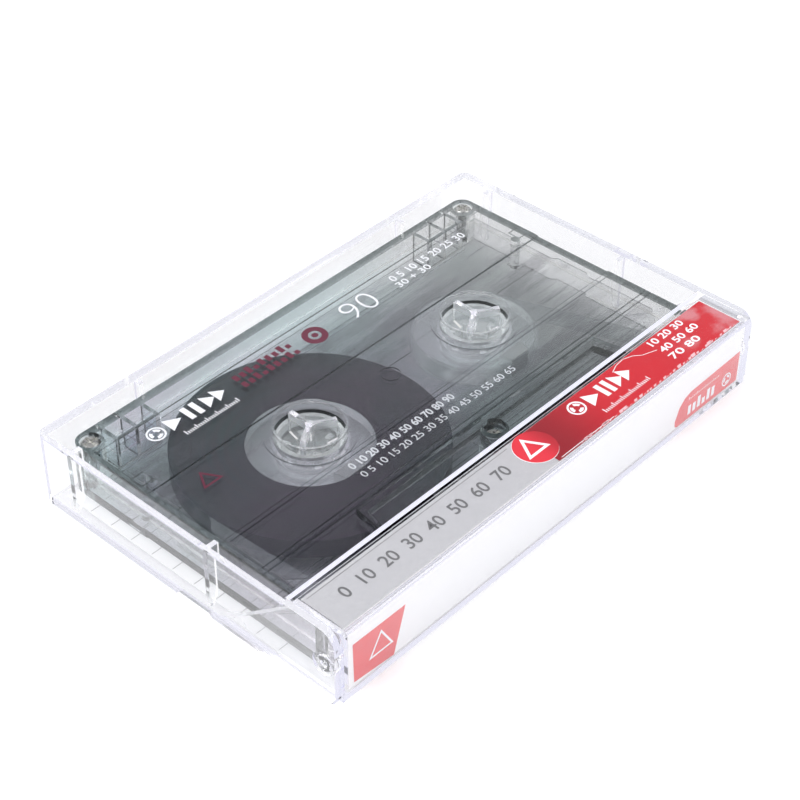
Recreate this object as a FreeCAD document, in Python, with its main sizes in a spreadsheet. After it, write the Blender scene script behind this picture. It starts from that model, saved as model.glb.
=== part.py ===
import FreeCAD, Part
import Sketcher
import math
import os

# A compact audio cassette lying in its hinged clear case.
# X runs along the case, Y from the card's spine to the back wall, Z up.
# The origin is the centre of the case's base.

Vector = FreeCAD.Vector

SIZES = (
    ("shell_length", 100.4, "cassette shell along X"),
    ("shell_depth", 63.8, "cassette shell along Y"),
    ("shell_thick", 8.7, "cassette shell over the flat part"),
    ("shell_wall", 1.3, "cassette side walls"),
    ("shell_plate", 1.2, "cassette face plates"),
    ("shell_corner", 2.5, "cassette corner radius"),
    ("seam_gap", 0.04, "between the shell's two halves"),
    ("nose_thick", 11.9, "cassette over its raised nose"),
    ("nose_depth", 15.6, "raised nose along Y"),
    ("nose_back_width", 61.2, "raised nose at its back edge"),
    ("nose_front_width", 66.6, "raised nose at the front edge"),
    ("band_back_rim", 0.8, "recessed band behind the ring steps"),
    ("band_front_rim", 0.1, "recessed band before the ring steps"),
    ("band_depth", 0.25, "depth of the recessed band"),
    ("label_line", 5.8, "label groove, in from the back edge"),
    ("label_groove", 0.2, "width and depth of the grooves on the faces"),
    ("front_line", 18.1, "front groove, in from the front edge"),
    ("front_line_step", 1.2, "between the two front grooves"),
    ("square_mark", 2.8, "square mark beside each pillar"),
    ("square_mark_inset", 0.5, "square mark in from the shell's end"),
    ("ring_mark_radius", 1.9, "ring mark between the hubs"),
    ("ring_mark_offset", 1.1, "ring mark behind the hubs' line"),
    ("ring_step_width", 1.7, "ring step round each hub hole"),
    ("hub_spacing", 42.5, "between the two hub centres"),
    ("hub_setback", 28.5, "hub centres in from the back edge"),
    ("hub_radius", 11.2, "hub rim"),
    ("hub_thick", 3.8, "hub disc"),
    ("hub_bore_radius", 5.1, "inside of the hub's neck"),
    ("hub_tube_wall", 0.85, "wall of the hub's neck"),
    ("hub_tube_length", 7.9, "hub's neck along Z"),
    ("hub_hole_play", 0.45, "shell hole round the hub's neck"),
    ("tooth_tip_radius", 3.6, "circle through the tooth tips"),
    ("tooth_width", 1.5, "hub tooth"),
    ("tooth_height", 2.6, "hub tooth along Z"),
    ("clamp_width", 4.6, "hub clamp at the rim"),
    ("clamp_flare", 0.6, "how much wider the clamp is inside, each side"),
    ("clamp_depth", 2.9, "hub clamp along its radius"),
    ("clamp_sink", 0.28, "hub clamp inside the rim"),
    ("clamp_play", 0.06, "round the hub clamp"),
    ("tape_width", 3.81, "magnetic tape"),
    ("tape_thick", 0.08, "tape run, thickened to hold together"),
    ("pack_end_gap", 3.45, "full pack to the shell's end wall"),
    ("pack_back_gap", 3.0, "full pack to the shell's back wall"),
    ("pack_front_room", 11.1, "full pack to the shell's front edge"),
    ("pack_between", 6.55, "full pack to the first turns on the other hub"),
    ("start_turns", 0.55, "thickness of the first turns on the empty hub"),
    ("pack_play", 0.05, "between a hub and its pack"),
    ("run_play", 0.1, "between the tape run and what turns"),
    ("roller_radius", 3.0, "guide roller"),
    ("roller_inset", 9.2, "guide roller in from the shell's end"),
    ("roller_height", 4.4, "guide roller along Z"),
    ("pin_radius", 1.0, "guide roller's pin"),
    ("pin_play", 0.06, "roller on its pin"),
    ("close_play", 0.02, "a pin or a screw in its close hole"),
    ("pin_boss_radius", 1.9, "seat round the pin's end"),
    ("pin_boss_height", 0.7, "seat round the pin's end"),
    ("tape_front_gap", 0.5, "front wall to the tape"),
    ("felt_length", 5.4, "felt pad along X"),
    ("felt_height", 3.6, "felt pad along Z"),
    ("felt_thick", 2.0, "felt pad along Y"),
    ("felt_round", 0.4, "felt pad's front edges"),
    ("spring_thick", 0.15, "leaf spring strip"),
    ("spring_height", 4.6, "leaf spring along Z"),
    ("spring_half", 10.2, "leaf spring, centre to end"),
    ("spring_seat_half", 3.4, "flat middle of the leaf spring"),
    ("spring_sweep", 1.5, "how far the spring's ends lie back"),
    ("spring_travel", 0.7, "room behind the spring's ends"),
    ("shield_thick", 0.4, "shield plate"),
    ("shield_height", 5.6, "shield plate along Z"),
    ("shield_overhang", 0.7, "shield plate past the spring's end"),
    ("shield_lip", 1.6, "shield plate's turned ends"),
    ("screw_inset", 2.55, "corner screws in from the edges"),
    ("screw_mid_inset", 3.1, "middle screw in from the nose's back edge"),
    ("screw_head_radius", 1.9, "screw head"),
    ("screw_head_height", 1.2, "screw head"),
    ("screw_shank_radius", 0.9, "screw shank"),
    ("screw_length", 7.0, "screw under its head"),
    ("screw_play", 0.1, "round the screw"),
    ("screw_sink", 0.3, "screw head below the face"),
    ("screw_point", 0.6, "bevel at the screw's tip"),
    ("screw_bevel", 0.55, "screw head's rim"),
    ("screw_cross_width", 0.4, "arm of the cross recess"),
    ("screw_cross_reach", 1.3, "cross recess from the screw's axis"),
    ("screw_cross_depth", 0.6, "cross recess"),
    ("boss_radius", 2.5, "screw boss"),
    ("pillar_inset", 3.3, "joining pillar in from the end"),
    ("pillar_setback", 16.8, "joining pillar in from the back edge"),
    ("pillar_radius", 0.9, "joining pillar"),
    ("cell_wall", 0.8, "thin walls of the corner cells"),
    ("cell_depth", 4.2, "corner cells along Y"),
    ("cell_setback", 5.8, "corner cells in from the shell's end"),
    ("cell_length", 4.8, "outer corner cell along X"),
    ("cell_inner_length", 5.0, "inner corner cell along X"),
    ("tab_length", 4.6, "knock-out tab along X"),
    ("tab_slit", 0.4, "slit round the knock-out tab"),
    ("head_window", 15.2, "middle opening of the front edge"),
    ("head_strut", 5.4, "between the middle and the pinch roller openings"),
    ("pinch_window", 9.8, "pinch roller openings"),
    ("pinch_strut", 4.2, "between the pinch roller and the outer openings"),
    ("guide_window", 3.6, "outer openings"),
    ("window_height", 7.0, "front openings along Z"),
    ("drive_hole_radius", 2.7, "capstan holes"),
    ("locate_hole_radius", 2.3, "locating holes"),
    ("nose_hole_setback", 6.7, "both hole rows in from the front edge"),
    ("slip_thick", 0.12, "slip sheet"),
    ("slip_level", 2.35, "slip sheet from the middle plane"),
    ("slip_margin", 0.6, "slip sheet round the bosses"),
    ("slip_end_gap", 1.2, "slip sheet to the end walls"),
    ("slip_tab_reach", 0.8, "slip sheet's tab, out from its end"),
    ("slip_tab_front", 5.4, "slip sheet's tab before the hubs' line"),
    ("slip_tab_back", 3.2, "slip sheet's tab behind the hubs' line"),
    ("slip_back_gap", 0.3, "slip sheet to the corner cells"),
    ("slip_front", 9.8, "slip sheet in from the front edge"),
    ("slip_corner", 5.0, "slip sheet's cut front corners"),
    ("slip_hole_play", 0.9, "slip sheet round the hub's neck"),
    ("card_thick", 0.2, "inlay card"),
    ("card_play", 0.05, "between the card and the case, and the card and the cassette"),
    ("card_room", 0.25, "for the card, over and under the cassette"),
    ("card_end_gap", 0.25, "inlay card to the pocket's end walls"),
    ("card_fold", 0.6, "inlay card's fold radius"),
    ("card_back_gap", 2.2, "inlay card short of the pocket's back edge"),
    ("card_flap_gap", 0.25, "inlay card short of the flap's edge"),
    ("panel_thick", 1.2, "case's large faces"),
    ("case_wall", 1.3, "case's edge walls"),
    ("head_room", 0.4, "over the cassette in the shut case"),
    ("side_room", 1.55, "beside the cassette, each end"),
    ("edge_room", 1.8, "before and behind the cassette"),
    ("nest_gap", 0.15, "between the case's nested halves"),
    ("tray_lift", 0.2, "tray's walls above the base"),
    ("flap_depth", 10.8, "pocket's short flap"),
    ("lid_gap", 1.2, "flap to the tray's panel"),
    ("flap_chamfer", 0.3, "flap's free edge"),
    ("pocket_fold", 0.8, "pocket's outer fold radius"),
    ("cheek_foot_depth", 27.0, "pocket's end wall at its foot"),
    ("cheek_step_depth", 22.6, "pocket's end wall where the slope ends"),
    ("cheek_step_height", 3.9, "pocket's end wall where the slope ends"),
    ("arm_setback", 0.6, "hinge arm behind the spine's face"),
    ("arm_top_round", 3.0, "hinge arm's upper corner"),
    ("arm_foot_round", 1.0, "hinge arm's lower corner"),
    ("tray_corner", 1.6, "tray's upright back corners"),
    ("hinge_setback", 3.1, "hinge behind the spine's face"),
    ("hinge_height", 7.9, "hinge above the base"),
    ("hinge_pin_radius", 1.5, "hinge pin"),
    ("hinge_play", 0.08, "hinge pin in its hole"),
    ("hinge_ring_radius", 2.2, "sunk ring round the hinge hole"),
    ("hinge_ring_depth", 0.4, "sunk ring round the hinge hole"),
    ("hinge_dimple_radius", 0.7, "dimple in the hinge pin"),
    ("hinge_dimple_depth", 0.4, "dimple in the hinge pin"),
    ("nub_radius", 0.9, "snap nub on the pocket's end wall"),
    ("nub_height", 0.1, "snap nub on the pocket's end wall"),
    ("rib_thick", 1.0, "ribs inside the tray"),
    ("rib_gap", 0.2, "gussets to the cassette"),
    ("rib_reach", 1.7, "end ribs, in from the end wall"),
    ("rib_foot", 2.2, "end ribs' lower ends above the base"),
    ("rib_round", 1.0, "end ribs' inner lower corner"),
    ("rib_back_setback", 8.0, "back end rib in from the case's back"),
    ("rib_front_y", 5.8, "front end rib from the centre"),
    ("gusset_x", 33.4, "gussets from the centre"),
    ("gusset_drop", 5.0, "gussets below the panel"),
    ("grip_length", 8.4, "finger notch in the tray's end walls"),
    ("grip_height", 0.7, "finger notch in the tray's end walls"),
    ("grip_y", 2.6, "finger notch's middle, before the centre"),
    ("fin_bore_play", 0.4, "post fins to the hub's bore"),
    ("fin_tooth_play", 0.7, "post fins to the hub's teeth"),
    ("fin_thick", 1.0, "post fins"),
    ("fin_tooth_gap", 0.25, "where the fins have narrowed, above the teeth"),
    ("fin_taper", 0.7, "where the fins narrow, along Z"),
    ("post_core", 0.85, "post's middle"),
    ("post_length", 8.8, "post below the panel"),
    ("post_ring", 6.5, "ring rib round each post"),
    ("post_ring_wall", 0.4, "ring rib round each post"),
    ("post_ring_depth", 0.5, "ring rib round each post"),
)

FIN_ANGLES = (90, 210, 330)
TOOTH_COUNT = 6
CAVITY_CUT_OVERRUN = 1.0


class Size:
    """A length that carries its formula for the document and its present value."""

    def __init__(self, formula, value):
        self.formula = formula
        self.value = value

    def joined(self, sign, other, value):
        return Size("(%s %s %s)" % (self.formula, sign, as_size(other).formula), value)

    def __add__(self, other):
        return self.joined("+", other, self.value + as_size(other).value)

    def __sub__(self, other):
        return self.joined("-", other, self.value - as_size(other).value)

    def __mul__(self, other):
        return self.joined("*", other, self.value * as_size(other).value)

    def __truediv__(self, other):
        return self.joined("/", other, self.value / as_size(other).value)

    def __neg__(self):
        return Size("(0 - %s)" % self.formula, -self.value)


def as_size(number):
    if isinstance(number, Size):
        return number
    return Size(repr(float(number)), float(number))


def smallest(*lengths):
    formula = "min(%s)" % "; ".join(length.formula for length in lengths)
    return Size(formula, min(length.value for length in lengths))


class SizeTable:
    """The driving sizes: a sheet in the document, read here by name."""

    def __init__(self, document):
        self.sheet = document.addObject("Spreadsheet::Sheet", "Sizes")
        for row, (alias, value, meaning) in enumerate(SIZES, start=1):
            self.sheet.set("A%d" % row, meaning)
            self.sheet.set("B%d" % row, str(value))
            self.sheet.setAlias("B%d" % row, alias)
            setattr(self, alias, Size("Sizes.%s" % alias, float(value)))


doc = FreeCAD.newDocument("cassette_in_case")
size = SizeTable(doc)
doc.recompute()

# Levels and edges that several pieces share
card_bottom = size.panel_thick + size.card_play
card_top = card_bottom + size.card_thick
mid_plane = card_top + size.card_play + size.nose_thick / 2
shell_half_x = size.shell_length / 2
shell_half_y = size.shell_depth / 2
pocket_half = shell_half_x + size.side_room + size.case_wall
arm_inner = pocket_half + size.nest_gap
case_half_x = arm_inner + size.case_wall
case_half_y = shell_half_y + size.edge_room + size.case_wall
case_height = size.nose_thick + size.head_room + (size.panel_thick + size.card_room) * 2
ceiling = case_height - size.panel_thick
back_inner = case_half_y - size.case_wall
spine_inner = -case_half_y + size.case_wall
flap_edge = -case_half_y + size.flap_depth
lid_edge = flap_edge + size.lid_gap
arm_front = -case_half_y + size.arm_setback
hinge_y = -case_half_y + size.hinge_setback
hub_x = size.hub_spacing / 2
hub_y = shell_half_y - size.hub_setback
hub_tube_radius = size.hub_bore_radius + size.hub_tube_wall
hub_hole_radius = hub_tube_radius + size.hub_hole_play
ring_step_radius = hub_hole_radius + size.ring_step_width
fin_length = size.hub_bore_radius - size.fin_bore_play
fin_tip_length = size.tooth_tip_radius - size.fin_tooth_play

# A full pack is as large as the shell and the other hub leave room for
start_radius = size.hub_radius + size.start_turns
full_radius = smallest(
    shell_half_x - hub_x - size.shell_wall - size.pack_end_gap,
    size.hub_setback - size.shell_wall - size.pack_back_gap,
    size.shell_depth - size.hub_setback - size.pack_front_room,
    size.hub_spacing - start_radius - size.pack_between,
)

# Levels and edges inside the shell
face_level = size.shell_thick / 2
plate_level = face_level - size.shell_plate
nose_level = size.nose_thick / 2
nose_plate_level = nose_level - size.shell_plate
nose_back = -shell_half_y + size.nose_depth
front_inner = -shell_half_y + size.shell_wall
tape_face = front_inner + size.tape_front_gap
tape_back = tape_face + size.tape_thick
roller_x = shell_half_x - size.roller_inset
roller_y = tape_back + size.run_play + size.roller_radius
felt_front = tape_back + size.run_play
felt_back = felt_front + size.felt_thick
spring_end_front = felt_back + size.spring_sweep
spring_end_back = spring_end_front + size.spring_thick
shield_front = spring_end_back + size.spring_travel + size.run_play
shield_back = shield_front + size.shield_thick
shield_half = size.spring_half + size.shield_overhang
cheek_inner = shield_half + size.screw_play
nose_hole_y = -shell_half_y + size.nose_hole_setback
screw_x = shell_half_x - size.screw_inset
screw_y = shell_half_y - size.screw_inset
screw_mid_y = nose_back - size.screw_mid_inset
screw_seat = face_level - size.screw_sink - size.screw_head_height
pillar_x = shell_half_x - size.pillar_inset
pillar_y = shell_half_y - size.pillar_setback
cell_outer = shell_half_x - size.cell_setback
cell_middle = cell_outer - size.cell_length
cell_inner = cell_middle - size.cell_inner_length
cell_front = shell_half_y - size.shell_wall - size.cell_depth
pinch_x = size.head_window / 2 + size.head_strut + size.pinch_window / 2
guide_x = pinch_x + size.pinch_window / 2 + size.pinch_strut + size.guide_window / 2
SCREW_SPOTS = (
    (-screw_x, screw_y),
    (screw_x, screw_y),
    (-screw_x, -screw_y),
    (screw_x, -screw_y),
    (as_size(0), screw_mid_y),
)


# Drawing helpers

def bind(thing, path, length):
    """Ties one property to the formula of a size."""
    if isinstance(length, Size):
        thing.setExpression(path, length.formula)


def origin_plane(body, role):
    for feature in body.Origin.OriginFeatures:
        if feature.Role == role:
            return feature
    raise ValueError(role)


def new_body(label):
    body = doc.addObject("PartDesign::Body", label)
    body.Label = label
    return body


def new_sketch(body, name, role, level):
    """A sketch on a plane of the body's origin, moved along that plane's normal."""
    sketch = body.newObject("Sketcher::SketchObject", name)
    sketch.AttachmentSupport = [(origin_plane(body, role), "")]
    sketch.MapMode = "FlatFace"
    level = as_size(level)
    sketch.AttachmentOffset = FreeCAD.Placement(Vector(0, 0, level.value), FreeCAD.Rotation())
    bind(sketch, "AttachmentOffset.Base.z", level)
    return sketch


def pin_point(sketch, line, end, x, y):
    """Holds one end of a line at a place given by two sizes."""
    for kind, length in (("DistanceX", as_size(x)), ("DistanceY", as_size(y))):
        index = sketch.addConstraint(
            Sketcher.Constraint(kind, -1, 1, line, end, length.value))
        bind(sketch, "Constraints[%d]" % index, length)


def draw_polygon(sketch, points):
    """Straight edges through the points, closed."""
    first = sketch.GeometryCount
    spots = [Vector(as_size(x).value, as_size(y).value, 0) for x, y in points]
    count = len(spots)
    for number in range(count):
        edge = Part.LineSegment(spots[number], spots[(number + 1) % count])
        sketch.addGeometry(edge, False)
    for number in range(count):
        following = first + (number + 1) % count
        sketch.addConstraint(
            Sketcher.Constraint("Coincident", first + number, 2, following, 1))
    for number, (x, y) in enumerate(points):
        pin_point(sketch, first + number, 1, x, y)


def draw_rectangle(sketch, x_low, y_low, x_high, y_high):
    draw_polygon(sketch, ((x_low, y_low), (x_high, y_low), (x_high, y_high), (x_low, y_high)))


def draw_circle(sketch, x, y, radius, guide=False):
    """A circle, or with guide a construction circle that other edges can touch."""
    x, y, radius = as_size(x), as_size(y), as_size(radius)
    ring = Part.Circle(Vector(x.value, y.value, 0), Vector(0, 0, 1), radius.value)
    index = sketch.addGeometry(ring, guide)
    pin_point(sketch, index, 3, x, y)
    constraint = sketch.addConstraint(Sketcher.Constraint("Radius", index, radius.value))
    bind(sketch, "Constraints[%d]" % constraint, radius)


def add_layer(body, name, low, high, draw, role="XY_Plane"):
    """Adds material between two levels of a plane's normal, in the drawn outline."""
    sketch = new_sketch(body, name + "_outline", role, low)
    draw(sketch)
    pad = body.newObject("PartDesign::Pad", name)
    pad.Profile = sketch
    pad.Reversed = as_size(high).value < as_size(low).value
    length = (low - high) if pad.Reversed else (high - low)
    pad.Length = as_size(length).value
    bind(pad, "Length", length)
    return pad


def cut_layer(body, name, low, high, draw, role="XY_Plane"):
    """Removes material between two levels of a plane's normal, in the drawn outline."""
    sketch = new_sketch(body, name + "_outline", role, low)
    draw(sketch)
    pocket = body.newObject("PartDesign::Pocket", name)
    pocket.Profile = sketch
    pocket.Reversed = as_size(high).value > as_size(low).value
    length = (high - low) if pocket.Reversed else (low - high)
    pocket.Length = as_size(length).value
    bind(pocket, "Length", length)
    return pocket


def mirror(body, name, originals, role="YZ_Plane"):
    copy = body.newObject("PartDesign::Mirrored", name)
    copy.Originals = originals
    copy.MirrorPlane = (origin_plane(body, role), [""])
    body.Tip = copy
    return copy


def round_edges(body, name, radius, picks):
    """Rounds those edges of the body so far for which picks() is true."""
    doc.recompute()
    tip = body.Tip
    names = ["Edge%d" % (number + 1) for number, edge in enumerate(tip.Shape.Edges) if picks(edge)]
    if not names:
        raise ValueError("no edge to round for " + name)
    fillet = body.newObject("PartDesign::Fillet", name)
    fillet.Base = (tip, names)
    fillet.Radius = radius.value
    bind(fillet, "Radius", radius)
    return fillet


def is_near(first, second, within=1e-4):
    return abs(first - second) < within


def runs_along(edge, axis):
    """True for a straight edge along one axis: 0 is X, 1 is Y, 2 is Z."""
    if len(edge.Vertexes) != 2:
        return False
    start, end = (vertex.Point for vertex in edge.Vertexes)
    return all(is_near(start[other], end[other]) for other in range(3) if other != axis)


def middle(edge):
    return edge.BoundBox.Center


# The case's lower half: base panel, spine, short flap and the two nested end walls

def make_case_pocket():
    body = new_body("case_pocket")
    back_edge = back_inner - size.nest_gap

    def channel(sketch):
        draw_polygon(sketch, (
            (-case_half_y, 0),
            (back_edge, 0),
            (back_edge, size.panel_thick),
            (spine_inner, size.panel_thick),
            (spine_inner, ceiling),
            (flap_edge, ceiling),
            (flap_edge, case_height - size.flap_chamfer),
            (flap_edge - size.flap_chamfer, case_height),
            (-case_half_y, case_height),
        ))

    add_layer(body, "channel", -pocket_half, pocket_half, channel, "YZ_Plane")

    def outer_fold(edge):
        return runs_along(edge, 0) and is_near(middle(edge).y, -case_half_y.value)

    round_edges(body, "outer_folds", size.pocket_fold, outer_fold)

    def cheek(sketch):
        draw_polygon(sketch, (
            (-case_half_y + size.pocket_fold, size.panel_thick / 2),
            (-case_half_y + size.cheek_foot_depth, size.panel_thick / 2),
            (-case_half_y + size.cheek_foot_depth, size.panel_thick),
            (-case_half_y + size.cheek_step_depth, size.cheek_step_height),
            (flap_edge, ceiling),
            (flap_edge - size.flap_chamfer, case_height - size.panel_thick / 2),
            (-case_half_y + size.pocket_fold, case_height - size.panel_thick / 2),
        ))

    cheek_wall = add_layer(
        body, "cheek", pocket_half - size.case_wall, pocket_half, cheek, "YZ_Plane")

    def pin(sketch):
        draw_circle(sketch, hinge_y, size.hinge_height, size.hinge_pin_radius)

    pin_end = case_half_x - size.nest_gap
    hinge_pin = add_layer(body, "hinge_pin", pocket_half, pin_end, pin, "YZ_Plane")

    def nub(sketch):
        nub_y = -case_half_y + size.cheek_step_depth - size.nub_radius
        draw_circle(sketch, nub_y, size.cheek_step_height - size.nub_radius, size.nub_radius)

    snap_nub = add_layer(
        body, "snap_nub", pocket_half, pocket_half + size.nub_height, nub, "YZ_Plane")
    mirror(body, "other_end", [cheek_wall, hinge_pin, snap_nub])

    def dimple(sketch):
        draw_circle(sketch, hinge_y, size.hinge_height, size.hinge_dimple_radius)

    dimple_floor = pin_end - size.hinge_dimple_depth
    pit = cut_layer(body, "pin_dimple", pin_end, dimple_floor, dimple, "YZ_Plane")
    mirror(body, "other_dimple", [pit])
    return body


# The case's upper half: panel, back wall, hinge arms, ribs, gussets and the two posts

def draw_end_wall(sketch):
    grip_low = -size.grip_y - size.grip_length / 2
    grip_high = -size.grip_y + size.grip_length / 2
    notch = size.tray_lift + size.grip_height
    draw_polygon(sketch, (
        (arm_front, size.tray_lift),
        (grip_low, size.tray_lift),
        (grip_low + size.grip_height, notch),
        (grip_high - size.grip_height, notch),
        (grip_high, size.tray_lift),
        (case_half_y, size.tray_lift),
        (case_half_y, case_height),
        (arm_front, case_height),
    ))


def add_end_rib(body, name, rib_y):
    """A thin rib that hangs from the panel and keeps the cassette off the end wall."""
    tip = arm_inner - size.rib_reach

    def outline(sketch):
        draw_polygon(sketch, (
            (tip, ceiling),
            (tip, size.rib_foot + size.rib_round * 2),
            (tip + size.rib_round, size.rib_foot),
            (arm_inner, size.rib_foot),
            (arm_inner, ceiling),
        ))

    # This plane's normal points to -Y
    low = -rib_y - size.rib_thick / 2
    high = -rib_y + size.rib_thick / 2
    return add_layer(body, name, low, high, outline, "XZ_Plane")


def add_gusset(body):
    """A triangular rib between the panel and the back wall."""
    tip = shell_half_y + size.rib_gap

    def outline(sketch):
        draw_polygon(sketch, (
            (tip, ceiling), (back_inner, ceiling - size.gusset_drop), (back_inner, ceiling)))

    low = size.gusset_x - size.rib_thick / 2
    high = size.gusset_x + size.rib_thick / 2
    return add_layer(body, "gusset", low, high, outline, "YZ_Plane")


def add_post(body, name, post_x):
    """Three thin fins on a core, wide above the hub's teeth and narrow between them."""
    taper_end = mid_plane + size.tooth_height / 2 + size.fin_tooth_gap
    wide_end = taper_end + size.fin_taper
    foot = ceiling - size.post_length
    for angle in FIN_ANGLES:
        sketch = new_sketch(body, "%s_fin_%d_outline" % (name, angle), "XZ_Plane", 0)
        turn = FreeCAD.Rotation(Vector(0, 1, 0), angle)
        sketch.AttachmentOffset = FreeCAD.Placement(
            Vector(post_x.value, 0, -hub_y.value), turn)
        bind(sketch, "AttachmentOffset.Base.x", post_x)
        bind(sketch, "AttachmentOffset.Base.z", -hub_y)
        draw_polygon(sketch, (
            (0, ceiling),
            (0, foot),
            (fin_tip_length - size.fin_thick / 2, foot),
            (fin_tip_length, taper_end),
            (fin_length, wide_end),
            (fin_length, ceiling),
        ))
        fin = body.newObject("PartDesign::Pad", "%s_fin_%d" % (name, angle))
        fin.Profile = sketch
        fin.SideType = "Symmetric"
        fin.Length = size.fin_thick.value
        bind(fin, "Length", size.fin_thick)

    def core(sketch):
        draw_circle(sketch, post_x, hub_y, size.post_core)

    add_layer(body, name + "_core", ceiling, foot, core)

    def ring(sketch):
        draw_circle(sketch, post_x, hub_y, size.post_ring)
        draw_circle(sketch, post_x, hub_y, size.post_ring - size.post_ring_wall)

    add_layer(body, name + "_ring", ceiling, ceiling - size.post_ring_depth, ring)


def make_case_tray():
    body = new_body("case_tray")

    def panel(sketch):
        draw_rectangle(sketch, -case_half_x, lid_edge, case_half_x, case_half_y)

    add_layer(body, "panel", ceiling, case_height, panel)

    def back(sketch):
        draw_rectangle(sketch, -case_half_x, back_inner, case_half_x, case_half_y)

    add_layer(body, "back_wall", ceiling, size.tray_lift, back)
    end_wall = add_layer(body, "end_wall", arm_inner, case_half_x, draw_end_wall, "YZ_Plane")
    back_rib = add_end_rib(body, "back_end_rib", case_half_y - size.rib_back_setback)
    front_rib = add_end_rib(body, "front_end_rib", -size.rib_front_y)
    gusset = add_gusset(body)
    mirror(body, "other_end", [end_wall, back_rib, front_rib, gusset])

    def arm_corner(level):
        def picks(edge):
            spot = middle(edge)
            return (runs_along(edge, 0) and is_near(spot.y, arm_front.value)
                    and is_near(spot.z, level.value))
        return picks

    def back_corner(edge):
        return runs_along(edge, 2) and is_near(middle(edge).y, case_half_y.value)

    round_edges(body, "arm_top_corners", size.arm_top_round, arm_corner(case_height))
    round_edges(body, "arm_foot_corners", size.arm_foot_round, arm_corner(size.tray_lift))
    round_edges(body, "back_corners", size.tray_corner, back_corner)

    def hole(sketch):
        draw_circle(sketch, hinge_y, size.hinge_height, size.hinge_pin_radius + size.hinge_play)

    hinge_hole = cut_layer(body, "hinge_hole", case_half_x, arm_inner, hole, "YZ_Plane")

    def ring(sketch):
        draw_circle(sketch, hinge_y, size.hinge_height, size.hinge_ring_radius)

    ring_floor = case_half_x - size.hinge_ring_depth
    hinge_ring = cut_layer(body, "hinge_ring", case_half_x, ring_floor, ring, "YZ_Plane")
    mirror(body, "other_hinge", [hinge_hole, hinge_ring])
    add_post(body, "left_post", -hub_x)
    add_post(body, "right_post", hub_x)
    return body


# The printed card: main sheet under the cassette, spine and short flap

def make_inlay_card():
    body = new_body("inlay_card")
    back_edge = back_inner - size.nest_gap - size.card_back_gap
    flap_end = flap_edge - size.card_flap_gap
    over_flap = ceiling - size.card_play
    under_flap = over_flap - size.card_thick
    outside = spine_inner + size.card_play
    inside = outside + size.card_thick

    def folded(sketch):
        draw_polygon(sketch, (
            (outside, card_bottom), (back_edge, card_bottom), (back_edge, card_top),
            (inside, card_top), (inside, under_flap), (flap_end, under_flap),
            (flap_end, over_flap), (outside, over_flap),
        ))

    half = pocket_half - size.case_wall - size.card_end_gap
    add_layer(body, "folded_sheet", -half, half, folded, "YZ_Plane")

    def outer_fold(edge):
        return runs_along(edge, 0) and is_near(middle(edge).y, outside.value)

    def inner_fold(edge):
        spot = middle(edge)
        return (runs_along(edge, 0) and is_near(spot.y, inside.value)
                and (is_near(spot.z, card_top.value) or is_near(spot.z, under_flap.value)))

    round_edges(body, "outer_folds", size.card_fold, outer_fold)
    round_edges(body, "inner_folds", size.card_fold - size.card_thick, inner_fold)
    return body


# The cassette shell: two halves that meet on the middle plane

def draw_nose(inset):
    """The nose's trapezium, drawn in from its outline by a wall."""
    def draw(sketch):
        front = -shell_half_y + inset
        back = nose_back - inset
        front_half = size.nose_front_width / 2 - inset
        back_half = size.nose_back_width / 2 - inset
        draw_polygon(sketch, (
            (-front_half, front), (front_half, front), (back_half, back), (-back_half, back)))
    return draw


def draw_box_outline(inset):
    def draw(sketch):
        draw_rectangle(
            sketch, -shell_half_x + inset, -shell_half_y + inset,
            shell_half_x - inset, shell_half_y - inset)
    return draw


def draw_circles(spots, radius):
    def draw(sketch):
        for x, y in spots:
            draw_circle(sketch, x, y, radius)
    return draw


def draw_cells(side):
    """Thin walls of the two cells beside a back corner, drawn as one comb."""
    def draw(sketch):
        wall = size.cell_wall
        back = shell_half_y - size.shell_wall / 2
        front = cell_front + wall
        comb = (
            (cell_inner, back), (cell_inner, cell_front), (cell_outer, cell_front),
            (cell_outer, back), (cell_outer - wall, back), (cell_outer - wall, front),
            (cell_middle + wall / 2, front), (cell_middle + wall / 2, back),
            (cell_middle - wall / 2, back), (cell_middle - wall / 2, front),
            (cell_inner + wall, front), (cell_inner + wall, back),
        )
        draw_polygon(sketch, [(x * side, y) for x, y in comb])
    return draw


def draw_cheek(side):
    """The L-shaped post that keeps one end of the leaf spring and of the shield plate."""
    def draw(sketch):
        lip = size.spring_half - size.shell_wall
        front = spring_end_front - size.run_play * 2 - size.shell_wall / 2
        outer = cheek_inner + size.shell_wall
        ell = (
            (lip, front), (outer, front), (outer, shield_back + size.shield_lip),
            (cheek_inner, shield_back + size.shield_lip),
            (cheek_inner, spring_end_front - size.run_play * 2),
            (lip, spring_end_front - size.run_play * 2),
        )
        draw_polygon(sketch, [(x * side, y) for x, y in ell])
    return draw


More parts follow.
